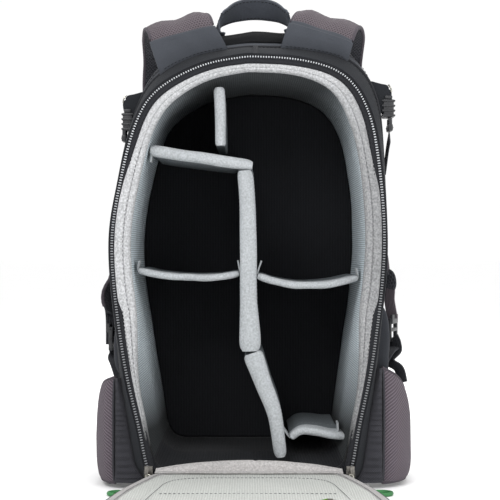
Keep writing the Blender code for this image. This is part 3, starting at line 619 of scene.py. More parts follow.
def make_materials():
    return {
        "yoke": fabric("yoke_fabric", (17, 18, 20), "plain", 0.0014, contrast=0.2, gloss=0.05),
        "band": fabric("band_fabric", (36, 38, 42), "plain", 0.0014, contrast=0.2, gloss=0.2),
        "shell": fabric("shell_fabric", (50, 52, 57), "plain", 0.0016, contrast=0.24, gloss=0.2),
        "gusset": fabric("gusset_fabric", (62, 65, 71), "twill", 0.0016, contrast=0.2),
        "piping": fabric("piping", (40, 41, 45), "twill", 0.0012, gloss=0.25),
        "base": fabric("base_fabric", (36, 37, 40), "plain", 0.0018, uv=False),
        # painted shade on the rim: darker towards the right side, darker lower down, and nearly black along its
        # bottom edge
        "rim": fabric("rim_fabric", (192, 193, 195), "plain", 0.0012, contrast=0.1, mottle=0.08, speck=0.28,
            depth=0.0004, painted_shades=((0, 0.08, 0.135, 0.52), (2, 0.15, 0.06, 0.78), (2, 0.078, 0.044, 0.05))),
        # painted shade on the walls: nearly black at the top, under the rim, and towards the bottom
        "wall": fabric("wall_fabric", (184, 194, 200), "ribs", 0.0022, contrast=0.5, mottle=0.08, speck=0.08,
            painted_shades=((2, 0.345, 0.412, 0.08), (2, 0.145, 0.06, 0.05))),
        # the floor lining's near-black is partly its own dark colour and partly painted shade deep in the
        # compartment
        "floor": fabric("inner_floor_fabric", (29, 30, 33), "ribs", 0.003, contrast=0.25),
        "divider": fabric("divider_fabric", (182, 186, 189), "plain", 0.0013, contrast=0.1, mottle=0.08,
            speck=0.16, depth=0.0004),
        # the divider cloth again, darker: painted shade for the dividers' faces deep in the bag
        "divider_side": fabric("divider_shaded_fabric", (104, 110, 114), "plain", 0.0013, contrast=0.12,
            speck=0.12),
        "tab": fabric("hook_tape", (178, 182, 185), "mesh", 0.0012, contrast=0.4, depth=0.0004),
        "lip": fabric("lip_fabric", (190, 187, 186), "plain", 0.0013, contrast=0.1, mottle=0.1, speck=0.2,
            depth=0.0004),
        "panel": fabric("panel_fabric", (185, 187, 183), "ribs", 0.0024, contrast=0.13, mottle=0.06,
            speck=0.08),
        "binding": fabric("light_binding", (170, 168, 167), "cords", 0.0013, contrast=0.24, mottle=0.1),
        "tape": fabric("zip_tape", (40, 41, 45), "cords", 0.0013, contrast=0.35, gloss=0.2),
        "strap": fabric("strap_fabric", (68, 71, 77), "plain", 0.0014, contrast=0.24, mottle=0.14),
        "strap_mesh": fabric("strap_mesh", (86, 79, 84), "mesh", 0.0027, contrast=1.25, depth=0.0009),
        "strap_under": fabric("strap_underside", (56, 57, 62), "mesh", 0.0034, contrast=0.7, depth=0.0008),
        "wing_mesh": fabric("wing_mesh", (94, 86, 93), "ridged", 0.0022, contrast=0.7, depth=0.0007),
        "wing_band": fabric("wing_band", (58, 58, 63), "twill", 0.0018, contrast=0.26, mottle=0.2,
            depth=0.0004),
        "pad_mesh": fabric("pad_mesh", (78, 73, 79), "mesh", 0.0034, contrast=0.6, depth=0.0009),
        "webbing": fabric("webbing", (52, 53, 58), "ribs", 0.0022, contrast=0.6, depth=0.0004, gloss=0.25),
        "purple_webbing": fabric("purple_webbing", (104, 96, 102), "ribs", 0.0018, contrast=0.4, depth=0.0004),
        "edge": fabric("webbing_edge", (52, 53, 58), "cords", 0.0012, contrast=0.3),
        "strap_edge": fabric("strap_edge", (72, 67, 73), "cords", 0.0014, contrast=0.3),
        "handle": fabric("handle_webbing", (84, 88, 96), "ribs", 0.0014, contrast=0.26, depth=0.0004),
        "thread": fabric("thread", (132, 133, 135), "plain", 0.0004, uv=False),
        "dark_thread": fabric("dark_thread", (30, 31, 34), "plain", 0.0004, uv=False),
        "cord": fabric("braided_cord", (112, 148, 66), "twill", 0.0012, contrast=0.45, depth=0.0004),
        "knot": fabric("cord_knot", (122, 158, 72), "twill", 0.0012, contrast=0.45, depth=0.0004),
        "sleeve": plastic("sleeve_rubber", (42, 112, 58), 0.45),
        "plastic": plastic("black_plastic", (36, 37, 40), 0.38),
        "board": plastic("board_plastic", (84, 86, 90), 0.6),
        "metal": metal("slider_metal", (134, 131, 126)),
        "wire": metal("pull_wire", (168, 166, 158), 0.22),
        "coil": coil_material(),
        "studio_floor": floor_material(),
    }


# ---- free cords ---------------------------------------------------------------------------
CORD_DIAMETER = 0.003
CORD_ROUTES = {
    "left": [(-0.101, -0.1175, 0.0052), (-0.1022, -0.1215, 0.003), (-0.107, -0.1243, 0.0021),
        (-0.114, -0.125, 0.0019), (-0.1215, -0.1242, 0.0019), (-0.1285, -0.1232, 0.0019),
        (-0.135, -0.1245, 0.0019), (-0.1388, -0.1297, 0.0019), (-0.1375, -0.1357, 0.0019),
        (-0.1323, -0.1392, 0.0019), (-0.1255, -0.1398, 0.0019)],
    "right": [(0.1045, -0.1175, 0.0052), (0.106, -0.1212, 0.003), (0.111, -0.1235, 0.0021),
        (0.118, -0.124, 0.0019), (0.1255, -0.1235, 0.0019), (0.1325, -0.1225, 0.0019), (0.139, -0.124, 0.0019),
        (0.143, -0.129, 0.0019), (0.142, -0.135, 0.0019), (0.137, -0.139, 0.0019), (0.13, -0.14, 0.0019),
        (0.123, -0.1385, 0.0019)],
}
SLEEVE_RADIUS = 0.0021


def knot_path(middle, size, turn=0.0):
    """An overhand knot pulled tight."""
    t = turns_of(60)
    x = (np.sin(t) + 2 * np.sin(2 * t)) / 3
    y = (np.cos(t) - 2 * np.cos(2 * t)) / 3
    z = -np.sin(3 * t) * 0.42
    c, s = math.cos(turn), math.sin(turn)
    return np.stack([x * c - y * s, x * s + y * c, z], axis=1) * size + np.asarray(middle)


def make_cords():
    for side, _ in LEFT_RIGHT:
        path = curve(CORD_ROUTES[side], 72)
        body = f"zip_pull_{side}"
        cord = tube(f"cord_{side}", path, CORD_DIAMETER / 2, "cord", sides=10)
        put(cord, body, "cord", f"pull_cord_{side}")
        knot = tube(f"cord_{side}_knot", knot_path(path[7] + (0, -0.0008, 0.0018), 0.004, 0.6), 0.00145, "knot",
            closed=True)
        put(knot, body, "cord")
        tail = tube(f"cord_{side}_end_knot", knot_path(path[-2] + (0, 0, 0.0008), 0.003, 1.9), 0.00125, "knot",
            closed=True)
        put(tail, body, "cord")
        covered = path[26:64]
        radius = np.full(len(covered), SLEEVE_RADIUS)
        radius[[0, -1]] = CORD_DIAMETER / 2 + 0.0002
        sleeve = tube(f"cord_{side}_sleeve", covered + (0, 0, 0.0003), radius, "sleeve", sides=12)
        put(sleeve, body, "cord")
        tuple(CORD_ROUTES[side][0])


# ---- main compartment ------------------------------------------------------------------------
BAND_SEAM_Y = -0.0805  # piping between the band round the zip and the sides
GUSSET_SEAM_Y = -0.052
FRONT_SEAM_Y = 0.0568
SHELL_FRONT_Y = 0.0697
FLOOR_Z = 0.0032  # the fabric's lowest height: the base panel is under it


def shell_profile():
    """Places along Y and how far the fabric stands out there, in metres."""
    band = [(-0.0997, 0.0), (-0.0988, 0.0004), (-0.0965, 0.0008), (-0.093, 0.001), (-0.0895, 0.001),
        (-0.086, 0.0008), (-0.083, 0.0003), (-0.0812, -0.0008)]
    gusset = [(-0.0798, -0.0008), (-0.078, 0.0001), (-0.074, 0.0006), (-0.068, 0.0008), (-0.062, 0.0008),
        (-0.057, 0.0004), (-0.053, -0.0007)]
    side = [(-0.0512, -0.0007), (-0.048, 0.0003)] + [(y, 0.0008) for y in np.linspace(-0.043, 0.048, 16)]
    front = [(0.053, 0.0004), (0.056, -0.0008), (0.0576, -0.0008), (0.06, 0.0002), (0.064, 0.0004),
        (0.067, 0.0002), (0.0692, 0.0)]
    return band, gusset, side, front


def make_shell():
    parts = shell_profile()
    rows, zones = [], []
    for number, part in enumerate(parts):
        for y, out in part:
            ring = section("outer_shell", 1, y)
            points = standing(ring, y)
            calm = ease((y - BAND_SEAM_Y) / 0.03) * ease((FRONT_SEAM_Y + 0.002 - y) / 0.02)
            folds = 0.0013 * ripple(points * (1, 1.6, 1), 0.105, 4) + 0.0005 * ripple(points, 0.034, 9) - 0.0006
            push = out + (0.00025 * ripple(points, 0.06, 2) if number < 2 else 0.0) + calm * folds
            moved = shrink(ring, -push)
            moved[:, 1] = np.maximum(moved[:, 1], FLOOR_Z)
            rows.append(standing(moved, y))
            zones.append(min(number, 2))
    shares = (0.97, 0.9, 0.78, 0.62, 0.45, 0.28, 0.12, 0.004)
    rows += closing(rows[-1], shares, lambda f, ring: SHELL_FRONT_Y - 0.0005 * (1 - f))
    zones += [2] * (len(rows) - len(zones))
    grid = np.repeat(np.array(zones[:-1])[:, None], AROUND, axis=1)
    shell = surface("shell_cover", rows, "band gusset shell", across=True, zones=grid)
    put(thickened(shell, 0.001), "bag", "shell_fabric", "outer_shell")
    for name, y, radius in (("band_piping", BAND_SEAM_Y, 0.0016), ("front_piping", FRONT_SEAM_Y, 0.0015)):
        ring = shrink(section("outer_shell", 1, y), -0.0003)
        ring[:, 1] = np.maximum(ring[:, 1], FLOOR_Z + radius * 0.4)
        put(tube(name, standing(ring, y), radius, "piping", closed=True))
    for name, y in (("band_stitching", BAND_SEAM_Y - 0.004), ("gusset_stitching", GUSSET_SEAM_Y + 0.0035),
            ("front_stitching", FRONT_SEAM_Y - 0.0045)):
        out = 0.0009 if y < GUSSET_SEAM_Y else 0.0006
        ring = shrink(section("outer_shell", 1, y), -out)
        ring[:, 1] = np.maximum(ring[:, 1], FLOOR_Z)
        normals = standing(outward(ring), 0.0)
        put(stitches(name, standing(ring, y), normals, closed=True))


RIM_LAP = 0.0042  # how far the rim laps over the zip tape
SLIDERS_END_Z = 0.2  # below it the rim stays clear of the sliders
RIM_STITCH = (0.0024, 0.0022, 0.00042)  # length, gap and radius of each thread


def make_liner():
    outer, inner = (section("padded_liner", 1, RIM_Y + 0.001, rank) for rank in (0, 1))
    lap = ease((0.37 - outer[:, 1]) / 0.08) * ease((outer[:, 1] - 0.02) / 0.03)
    lap = lap * (1 - 0.55 * ease((SLIDERS_END_Z - outer[:, 1]) / 0.025))
    outer = shrink(outer, -RIM_LAP * lap)
    raised = ease((outer[:, 1] - 0.034) / 0.03)
    # share of the way inwards, height along Y, and how much of the unevenness it gets
    profile = [(0.0, 0.01, 0), (0.0, 0.0016, 0), (0.05, -0.0001, 0.6), (0.16, -0.001, 1), (0.32, -0.0016, 1),
        (0.46, -0.0018, 1), (0.54, -0.0014, 1), (0.58, -0.0006, 1), (0.62, -0.0013, 1), (0.74, -0.0014, 1),
        (0.86, -0.0006, 1), (0.95, 0.001, 1), (1.0, 0.0034, 1), (1.0, 0.0068, 0)]
    reach = (1 - 0.36 * ease((outer[:, 1] - 0.385) / 0.06) - 0.68 * ease((0.19 - outer[:, 1]) / 0.11))[:, None]
    rows = []
    for s, y, puff in profile:
        ring = outer * (1 - s * reach) + inner * s * reach
        points = standing(ring, RIM_Y)
        points[:, 1] -= 0.0016 * lap * max(0.0, 1 - s / 0.6)
        points[:, 1] += y * np.where(y < 0, raised, 1.0) + 0.0003 * ripple(points, 0.05, 5) * puff * raised
        rows.append(points)
    # faces below z 0.03 take the near-black floor fabric, so the rim is darker at the bottom of the opening
    low = np.repeat((rows[5][:, 2] < 0.03).astype(int)[None], len(rows) - 1, axis=0)
    rim = surface("liner_rim", rows, "rim floor", across=True, zones=low)
    put(thickened(rim, 0.0008), "bag", "lining", "padded_liner")
    for side, part in (("left", slice(0, AROUND // 2)), ("right", slice(AROUND // 2, AROUND))):
        line = rows[6][part]
        keep = (line[:, 2] > 0.045) & (line[:, 2] < 0.352)
        put(stitches(f"liner_rim_stitches_{side}", line[keep] + (0, -0.0002, 0), TO_CAMERA, "thread",
            *RIM_STITCH), "bag", "lining")
    rows = [standing(outer * (1 - reach) + inner * reach, RIM_Y + 0.0062)]
    for number, y in enumerate(np.linspace(RIM_Y + 0.008, 0.047, 18)):
        ring = section("padded_liner", 1, y, 1)
        near = (1 - reach) * max(0.0, 1 - number / 5)
        ring = ring * (1 - near) + outer * near
        points = standing(ring, y)
        soft = 0.0007 * ripple(points, 0.07, 6)
        rows.append(standing(shrink(ring, 0.0002 + soft * 0.6), y))
    # faces below z 0.04 take the near-black floor fabric, so the walls are darker at the bottom
    low = np.repeat((rows[4][:, 2] < 0.04).astype(int)[None], len(rows) - 1, axis=0)
    walls = surface("liner_walls", rows, "wall floor", across=True, zones=low)
    put(thickened(walls, 0.0006), "bag", "lining")

    def depth(f, ring):
        return 0.0488 - 0.0018 * (1 - f**8) + 0.0003 * ripple(ring, 0.05, 7) * (1 - f)

    rows = closing(rows[-1], (1.0, 0.985, 0.96, 0.9, 0.8, 0.65, 0.5, 0.35, 0.2, 0.08, 0.01), depth)
    floor = surface("liner_floor", rows, "floor", across=True, planar=(0, 2))
    put(thickened(floor, 0.0006), "bag", "lining")


TOOTH_PITCH = 0.0027
TAPE_Y = RIM_Y - 0.0011


def coil(name, path, outwards, facing, body, slot, painted_glint=None, pitch=TOOTH_PITCH):
    """The teeth of a coil zip along a path, and the two rows of sewing that hold them."""
    count = int(length_of(path) / pitch)
    spots = resample(path, count)
    out = unit(resample_like(outwards, path, count))
    t = tangents(spots)
    face = np.broadcast_to(np.asarray(facing, float), spots.shape)
    out = unit(out - t * (out * t).sum(1, keepdims=True))
    size = 1 - 0.38 * ease((spots[:, 2:] - 0.33) / 0.07)
    turns = np.stack([out * size, t, face], axis=1)
    # tones: how much painted highlight each tooth gets, zero unless a function for it is given
    tones = np.zeros(count) if painted_glint is None else painted_glint(spots)
    teeth = stamped(name, block((0.0028, 0.00118, 0.0015), 0.0004), spots + face * 0.001, turns, "coil", tones)
    put(teeth, body, slot)
    for number, off in enumerate((-0.0021, 0.0021)):
        wire = tube(f"{name}_edge_{number}", path + unit(outwards) * off + np.asarray(facing) * 0.0004, 0.00038,
            "tape", sides=6)
        put(wire, body, slot)


def make_body_zip():
    ring = shrink(section("outer_shell", 1, RIM_Y + 0.0003), 0.003)
    kept = (ring[:, 1] > 0.0135) & (np.abs(ring[:, 0]) + (ring[:, 1] > 0.05) > 0.09)  # all but the bottom edge
    line, normals = ring[kept], outward(ring)[kept]
    path = standing(line, TAPE_Y)
    out = np.stack([normals[:, 0], np.zeros(len(normals)), normals[:, 1]], axis=1)
    tape = ribbon("zip_tape", path - out * 0.0028, out, 0.0084, 0.0009, "tape", edge=0.6, steps=7)
    put(tape, "bag", "coil", "body_zip_tape")
    # painted highlight: the teeth grow lighter above z 0.22, round the top of the opening
    coil("zip_coil", path + TO_CAMERA * 0.0003, out, TO_CAMERA, "bag", "coil",
        painted_glint=lambda p: 0.3 + 0.56 * ease((p[:, 2] - 0.22) / 0.16))
    put(stitches("zip_tape_stitches", path - out * 0.0058 + TO_CAMERA * 0.0005, TO_CAMERA), "bag", "coil")
    x, top = 0.0078, line[:, 1].max()
    tab = np.array([(x, RIM_Y - 0.0006, top + 0.003), (x, RIM_Y + 0.0085, top + 0.0092),
        (x, BAND_SEAM_Y - 0.0012, top + 0.0136)])
    put(ribbon("band_tab", tab, (1, 0, 0), 0.0052, 0.0011, "piping"), "bag", "webbing")


def make_base():
    low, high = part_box("base_panel")
    base = mesh_object("base_patch", *block(high - low, 0.0011, 3), "base")
    base.location = (low + high) / 2
    put(base, "bag", "webbing", "base_panel")
    for node in ("front_stiffener", "panel_board"):
        NODES[node].data.materials.clear()
        NODES[node].data.materials.append(M["board"])


def make_hinge_cover():
    """The padded fabric that joins the bottom of the opening to the panel, with a fold in its middle."""
    low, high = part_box("hinge_lip")
    xs = np.linspace(low.x - 0.0095, high.x + 0.0095, 91)
    seam_z, fold_x = 0.019, 0.008
    face, back = [], []
    for x in xs:
        arch = 1 - (x / 0.097) ** 2
        top = 0.0206 + 0.0092 * arch - 0.0009 * math.exp(-(((x - fold_x) / 0.0012) ** 2))
        dip = 0.0006 * math.exp(-(((x - fold_x) / 0.001) ** 2))
        mid = (top + seam_z) / 2
        line = [(-0.0982, top - 0.004), (-0.0996, top - 0.0008), (-0.1022, top), (-0.1052, top - 0.0012 + dip),
            (-0.1076, mid + 0.0014), (-0.1094, seam_z + 0.0018), (-0.1106, seam_z + 0.0001),
            (-0.112, seam_z + 0.0012), (-0.116, 0.0204), (-0.1205, 0.0202)]
        line = curve(line, 26)
        inside = line - outward(line, closed=False) * 0.0011
        face.append([(x, *p) for p in line])
        back.append([(x, *p) for p in inside[::-1]])
    rows = np.concatenate([np.array(face), np.array(back)], axis=1)
    flat = rows.reshape(-1, 3)
    flat[:, 2] += 0.00025 * ripple(flat, 0.022, 3)
    cover = surface("hinge_cover", rows, "lip", across=True, caps=True)
    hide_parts("hinge_lip")
    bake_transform(cover)
    line = np.array([f[16] for f in face]) + (0, -0.0002, 0.0003)
    keep = np.abs(line[:, 0]) < 0.088
    sewn = stitches("hinge_cover_stitches", line[keep], UP, "thread", 0.0024, 0.002, 0.00036)
    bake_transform(sewn)


def ring_out(ring):
    n = outward(ring)
    return np.stack([n[:, 0], -n[:, 1], np.zeros(len(n))], axis=1)


PANEL_FACE_Z = 0.019  # the padded side of the open panel, which faces up


def make_panel():
    body = "rear_panel"
    liner = section("panel_liner", 2, 0.0168)
    pad = pillow("panel_padding", liner, lying, 0.0141, PANEL_FACE_Z, "panel", bulge=0.0005, edge=0.003, rows=22,
        planar=(0, 1), wave=lambda p: 0.00018 * ripple(p, 0.03, 8))
    put(pad, body, "panel_lining", "panel_liner")
    edge = lying(shrink(liner, 0.0032), PANEL_FACE_Z)
    put(ribbon("panel_binding", edge, ring_out(liner), 0.0085, 0.0016, "binding", closed=True, crown=0.3), body,
        "panel_lining")
    inner_line = lying(shrink(liner, 0.0064), PANEL_FACE_Z + 0.0009)
    put(stitches("panel_binding_stitches", inner_line, UP, "thread", closed=True),
        body, "panel_lining")
    shell = section("panel_shell", 2, 0.0105)
    cover = pillow("panel_cover", shell, lying, 0.0116, 0.0094, "shell", edge=0.0012, rows=16, planar=(0, 1))
    put(cover, body, "shell_fabric", "panel_shell")
    put(tube("panel_piping", lying(shrink(shell, 0.0002), 0.0106), 0.0016, "piping", closed=True), body,
        "shell_fabric")
    kept = np.arange(AROUND)[-lying(shell, 0)[:, 1] > 0.129]
    line, out = lying(shell, 0.0152)[kept], ring_out(shell)[kept]
    put(ribbon("panel_zip_tape", line + out * 0.0012, out, 0.0066, 0.0009, "tape", edge=0.6, steps=7), body,
        "coil")
    coil("panel_zip_coil", line + out * 0.003 + UP * 0.0002, out, UP, body, "coil")
    make_inner_pocket(body)
    make_back_pads(body)


def make_inner_pocket(body):
    ring = section("panel_pocket", 2, 0.0204, count=160)
    sheet = pillow("inner_pocket", ring, lying, 0.0199, 0.0208, "panel", bulge=0.001, edge=0.0006, rows=14,
        planar=(0, 1), wave=lambda p: 0.0002 * ripple(p, 0.04, 12))
    put(sheet, body, "panel_lining", "panel_pocket")
    put(ribbon("inner_pocket_hem", lying(shrink(ring, 0.0026), 0.0209), ring_out(ring), 0.006, 0.0008, "panel",
        closed=True, crown=0.2), body, "panel_lining")
    put(stitches("inner_pocket_stitches", lying(shrink(ring, 0.0046), 0.0214), UP, "thread", closed=True), body,
        "panel_lining")
    span = np.array([(x, -0.295, 0.0216) for x in np.linspace(-0.082, 0.082, 40)])
    put(ribbon("inner_pocket_tape", span, (0, 1, 0), 0.015, 0.0009, "binding", edge=0.6), body, "panel_lining")
    coil("inner_pocket_coil", span + UP * 0.0002, np.broadcast_to((0.0, 1.0, 0.0), span.shape), UP, body,
        "coil", pitch=0.0024)
    put(stitches("inner_pocket_seam", span + (0, 0.052, 0), UP, "thread", 0.0026, 0.0016, 0.0004), body,
        "panel_lining")
    slider = assembly("inner_pocket_slider", [((0.074, -0.295, 0.0239), (0.009, 0.0062, 0.0026), 0.0009),
        ((0.0725, -0.295, 0.0257), (0.005, 0.0018, 0.0016), 0.0005)], "metal")
    put(slider, body, "metal")
    loop = [(0.07, -0.295, 0.0258), (0.06, -0.2935, 0.0232), (0.05, -0.295, 0.0228), (0.06, -0.2965, 0.0232)]
    put(tube("inner_pocket_pull", resample(loop, 40, closed=True), 0.0009, "cord", closed=True), body, "cord")


def make_back_pads(body):
    names = ["back_pad_upper_left", "back_pad_upper_right", "back_pad_middle_left", "back_pad_middle_right",
        "lumbar_pad"]
    for node in names:
        ring = section(node, 2, 0.005, count=128)
        pad = pillow(f"{node}_cover", ring, lying, 0.0091, 0.0022, "pad_mesh", bulge=-0.0014, edge=0.0042,
            rows=14, planar=(0, 1), wave=lambda p: 0.0004 * np.abs(ripple(p, 0.03, 20)))
        put(pad, body, "mesh", node)
        put(tube(f"{node}_edge", lying(shrink(ring, 0.0006), 0.008), 0.0013, "edge", closed=True), body, "mesh")
        put(stitches(f"{node}_stitches", lying(shrink(ring, -0.003), 0.0092), -UP, closed=True), body, "mesh")


# ---- dividers ---------------------------------------------------------------------------------
DIVIDER_EDGE_Y = -0.088
THIN_EDGE_Y = -0.078
DIVIDER_BACK_Y = 0.0458
DIVIDER_STEPS = 56
DIVIDER_STITCH = (0.0024, 0.0016, 0.00034)
# middle line in x and z, thickness, front edge, and the hook tabs: which end, which side, length
DIVIDERS = {
    "divider_top": ([(-0.03, 0.4125), (-0.029, 0.385), (-0.0283, 0.3525)], 0.011, DIVIDER_EDGE_Y, []),
    "divider_upper_left": ([(-0.0975, 0.3475), (-0.075, 0.344), (-0.04, 0.3395), (-0.0118, 0.3364)], 0.012,
        DIVIDER_EDGE_Y, [(0, -1, 0.012)]),
    "divider_main_upper": ([(-0.0035, 0.3385), (-0.0005, 0.29), (0.0002, 0.245), (0.0005, 0.195),
        (0.0026, 0.1404)], 0.014, DIVIDER_EDGE_Y, []),
    "divider_main_lower": ([(0.0045, 0.1386), (0.0158, 0.107), (0.0275, 0.0765), (0.033, 0.0395)], 0.013,
        DIVIDER_EDGE_Y, []),
    "divider_mid_left": ([(-0.114, 0.2235), (-0.09, 0.2185), (-0.055, 0.216), (-0.027, 0.217), (-0.0095, 0.22)],
        0.0068, THIN_EDGE_Y, [(0, 1, 0.01), (-1, 1, 0.014)]),
    "divider_mid_right": ([(0.01, 0.218), (0.028, 0.212), (0.055, 0.208), (0.085, 0.2095), (0.1138, 0.2155)],
        0.0072, THIN_EDGE_Y, [(0, 1, 0.016), (-1, 1, 0.01)]),
    "divider_low_right": ([(0.0445, 0.05), (0.055, 0.057), (0.068, 0.0576), (0.082, 0.056), (0.0925, 0.0565)],
        0.008, THIN_EDGE_Y, [(0, 1, 0.026), (-1, 1, 0.008)]),
}
# thickness along the line as shares of the stated one, from the first point to the last
DIVIDER_SWELL = {"divider_main_upper": [1.14, 1.2, 1.22, 1.3, 1.66],
    "divider_main_lower": [1.62, 1.34, 1.1, 1.0]}
# how far the front of a divider's first and last end is pulled
FRONT_STRETCH = {"divider_low_right": ((0, 0, 0), (0.008, 0.0, -0.0056)),
    "divider_main_lower": ((0, 0, 0), (0.001, 0.0, -0.0085)),
    "divider_main_upper": ((0, 0, -0.0118), (0, 0, 0)),
    "divider_upper_left": ((-0.0032, 0, 0.0006), (0.0165, 0.0, -0.0042))}


def divider_rows(name, line, thick, edge):
    path = curve([(x, 0.0, z) for x, z in line], DIVIDER_STEPS)
    across = np.cross(tangents(path), (0.0, 1.0, 0.0))
    half = thick / 2
    nose = min(half, 0.0058)
    swell = DIVIDER_SWELL.get(name, [1.0, 1.0])
    along = np.linspace(0, 1, DIVIDER_STEPS)
    swell = np.interp(along, np.linspace(0, 1, len(swell)), swell)
    depth = np.linspace(DIVIDER_BACK_Y - 0.001, edge + nose, 16)
    turn = np.linspace(0, math.pi, 13)[1:-1]
    profile = [(-half * 0.86, DIVIDER_BACK_Y)] + [(-half, y) for y in depth]
    profile += [(-(half - nose) * math.cos(a) - nose * math.cos(a), edge + nose * (1 - math.sin(a)))
        for a in turn]
    profile += [(half, y) for y in depth[::-1]] + [(half * 0.86, DIVIDER_BACK_Y)]
    profile = np.array(profile)
    ends = np.interp(np.arange(DIVIDER_STEPS), [0, 1, 2, 4, 51, 53, 54, 55],
        [0.7, 0.88, 0.96, 1, 1, 0.96, 0.88, 0.7])
    rows = []
    for i, p in enumerate(path):
        points = p + across[i] * profile[:, :1] * ends[i] * swell[i]
        points[:, 1] = profile[:, 1]
        rows.append(points)
    rows = np.array(rows)
    flat = rows.reshape(-1, 3)
    front = ease((edge + 0.05 - flat[:, 1]) / 0.05)
    side = np.repeat(across, len(profile), axis=0)
    flat += side * (0.0005 * ripple(flat, 0.03, 11) * front)[:, None]
    flat[:, 1] += (0.0007 * ripple(flat * (1, 0, 1), 0.055, 13) + 0.0007) * front
    along = np.repeat(along, len(profile))
    first, last = FRONT_STRETCH.get(name, ((0, 0, 0), (0, 0, 0)))
    flat += np.array(last) * (along**2 * front)[:, None]
    flat += np.array(first) * (np.clip(1 - along / 0.3, 0, 1) ** 1.5 * front)[:, None]
    return path, across, flat.reshape(rows.shape)


def make_dividers():
    for name, (line, thick, edge, tabs) in DIVIDERS.items():
        path, across, rows = divider_rows(name, line, thick, edge)
        # faces more than 13 mm back from the front edge take the darker copy of the divider cloth: painted shade
        deep = (rows[:-1, :, 1] > edge + 0.013).astype(int)
        pad = surface(f"{name}_pad", rows, "divider divider_side", across=True, caps=True, zones=deep)
        put(pad, BODY_OF[name], "divider_fabric", name)
        for mark, sign in AB:
            at = 12 if sign < 0 else rows.shape[1] - 13  # a line near the front, on each side
            sewn = stitches(f"{name}_stitches_{mark}", rows[3:-3, at], across[3:-3] * sign, "thread",
                *DIVIDER_STITCH)
            put(sewn, BODY_OF[name], "divider_fabric")
        for number, (end, side, length) in enumerate(tabs):
            ahead = unit(path[end] - path[1 if end == 0 else -2])
            start = path[end] + (0, edge + 0.018, 0)
            up = across[end] * side if (across[end] * side)[2] > 0 else -across[end] * side
            up = up * (1 if side > 0 else -1)
            flap = curve([start - ahead * 0.002, start + ahead * 0.0008, start + ahead * 0.0014 + up * 0.003,
                start + ahead * 0.0014 + up * length], 18)
            put(ribbon(f"{name}_tab_{number}", flap, (0, 1, 0), 0.024, 0.002, "tab", edge=0.6), BODY_OF[name],
                "divider_fabric")


# ---- shoulder straps ----------------------------------------------------------------------------
STRAP_WIDTH = 0.066
STRAP_THICK = 0.0115
STRAP_TILT = 0.24
STRAP_SEAM = 0.0045  # length of smooth cover before the mesh starts
STRAP_ROUTES = {
    "left": [(-0.0665, -0.0875, 0.462), (-0.0715, -0.073, 0.479), (-0.0785, -0.034, 0.4875),
        (-0.084, 0.022, 0.485), (-0.0885, 0.072, 0.46), (-0.104, 0.1, 0.408), (-0.121, 0.096, 0.35),
        (-0.137, 0.066, 0.288), (-0.145, 0.022, 0.23), (-0.15, -0.003, 0.196), (-0.147, -0.016, 0.173)],
    "right": [(0.0735, -0.0875, 0.4635), (0.08, -0.073, 0.48), (0.088, -0.034, 0.49), (0.096, 0.022, 0.488),
        (0.1, 0.072, 0.462), (0.118, 0.1, 0.412), (0.136, 0.096, 0.35), (0.144, 0.066, 0.288),
        (0.1485, 0.022, 0.234), (0.1505, -0.006, 0.202), (0.151, -0.018, 0.183)],
}
# where the sleeve's lower edge is sewn to the top seam, in x
ROOT_SPAN = {"left": (-0.0903, -0.0201), "right": (0.0331, 0.1029)}
LOCK_SHIFT = {"left": (0.0035, 0.0, -0.0035), "right": (0.002, 0.0, -0.004)}
LOCK_TURN = {"left": math.radians(-4.0), "right": math.radians(-20.0)}


def make_straps():
    count = 110
    for side, sign in LEFT_RIGHT:
        path = curve(STRAP_ROUTES[side], count)
        if sign > 0:  # the right pad ends higher up, in plain webbing
            path = resample(path[path[:, 2] > 0.206], count)
        t = np.linspace(0, 1, count)
        width = STRAP_WIDTH * (1 - 0.3 * t**3) * np.interp(t, [0, 0.96, 1], [1, 1, 0.8])
        thick = STRAP_THICK / 1.25 * np.interp(t, [0, 0.02, 0.06, 0.94, 0.98, 1], [0.6, 0.9, 1, 1, 0.8, 0.45])
        turn = ease((t - 0.22) / 0.42)[:, None]
        sides = np.array((sign, 0.0, -STRAP_TILT)) * (1 - turn) + np.array((0.05 * sign, -0.86, -0.5)) * turn
        sides = unit(sides) * -sign
        arc = t * length_of(path)
        rows = ribbon_rows(path, sides, width, thick, crown=0.25, edge=0.34, steps=15)
        flat = rows.reshape(-1, 3)
        ways, up = across_of(path, sides)
        u = ((rows - path[:, None]) * ways[:, None]).sum(2) / width[:, None]
        inward = u * np.sign(ways[0, 0]) * -sign
        # a long hollow down the middle and a ridge inside it, where the strap comes over the top
        wave = -0.0034 * np.exp(-((u / 0.17) ** 2)) + 0.0018 * np.exp(-(((inward - 0.33) / 0.12) ** 2))
        wave = wave * (ease(t / 0.04) * (1 - ease((t - 0.26) / 0.2)))[:, None]
        lift = 0.0004 * ripple(flat, 0.045, 17) + wave.ravel()
        flat += np.repeat(up, rows.shape[1], axis=0) * lift[:, None]
        zones = np.zeros((count - 1, rows.shape[1]), int)  # smooth cover, mesh and underside
        zones[:, 14:] = 2
        zones[arc[:-1] > STRAP_SEAM, :14] = 1
        strap = surface(f"shoulder_strap_{side}_pad", rows, "strap strap_mesh strap_under", across=True,
            caps=True, zones=zones)
        put(strap, "bag", "mesh", f"shoulder_strap_{side}")
        for mark, s in AB:
            edge = path + ways * (width / 2 * s - 0.0006 * s)[:, None]
            put(tube(f"shoulder_strap_{side}_binding_{mark}", edge[2:-1], 0.0021, "strap_edge", flat=up[2:-1]),
                "bag", "mesh")
        make_strap_root(side, path, ways, up)
        make_strap_end(side, sign, path)
        # the triangle of cloth, sewn into the side seam, that the strap's lower webbing is fixed to
        put(patch(f"strap_anchor_{side}", ANCHOR[side], 65, -0.074, -0.08, "shell", -0.001, 0.0018, sign < 0))


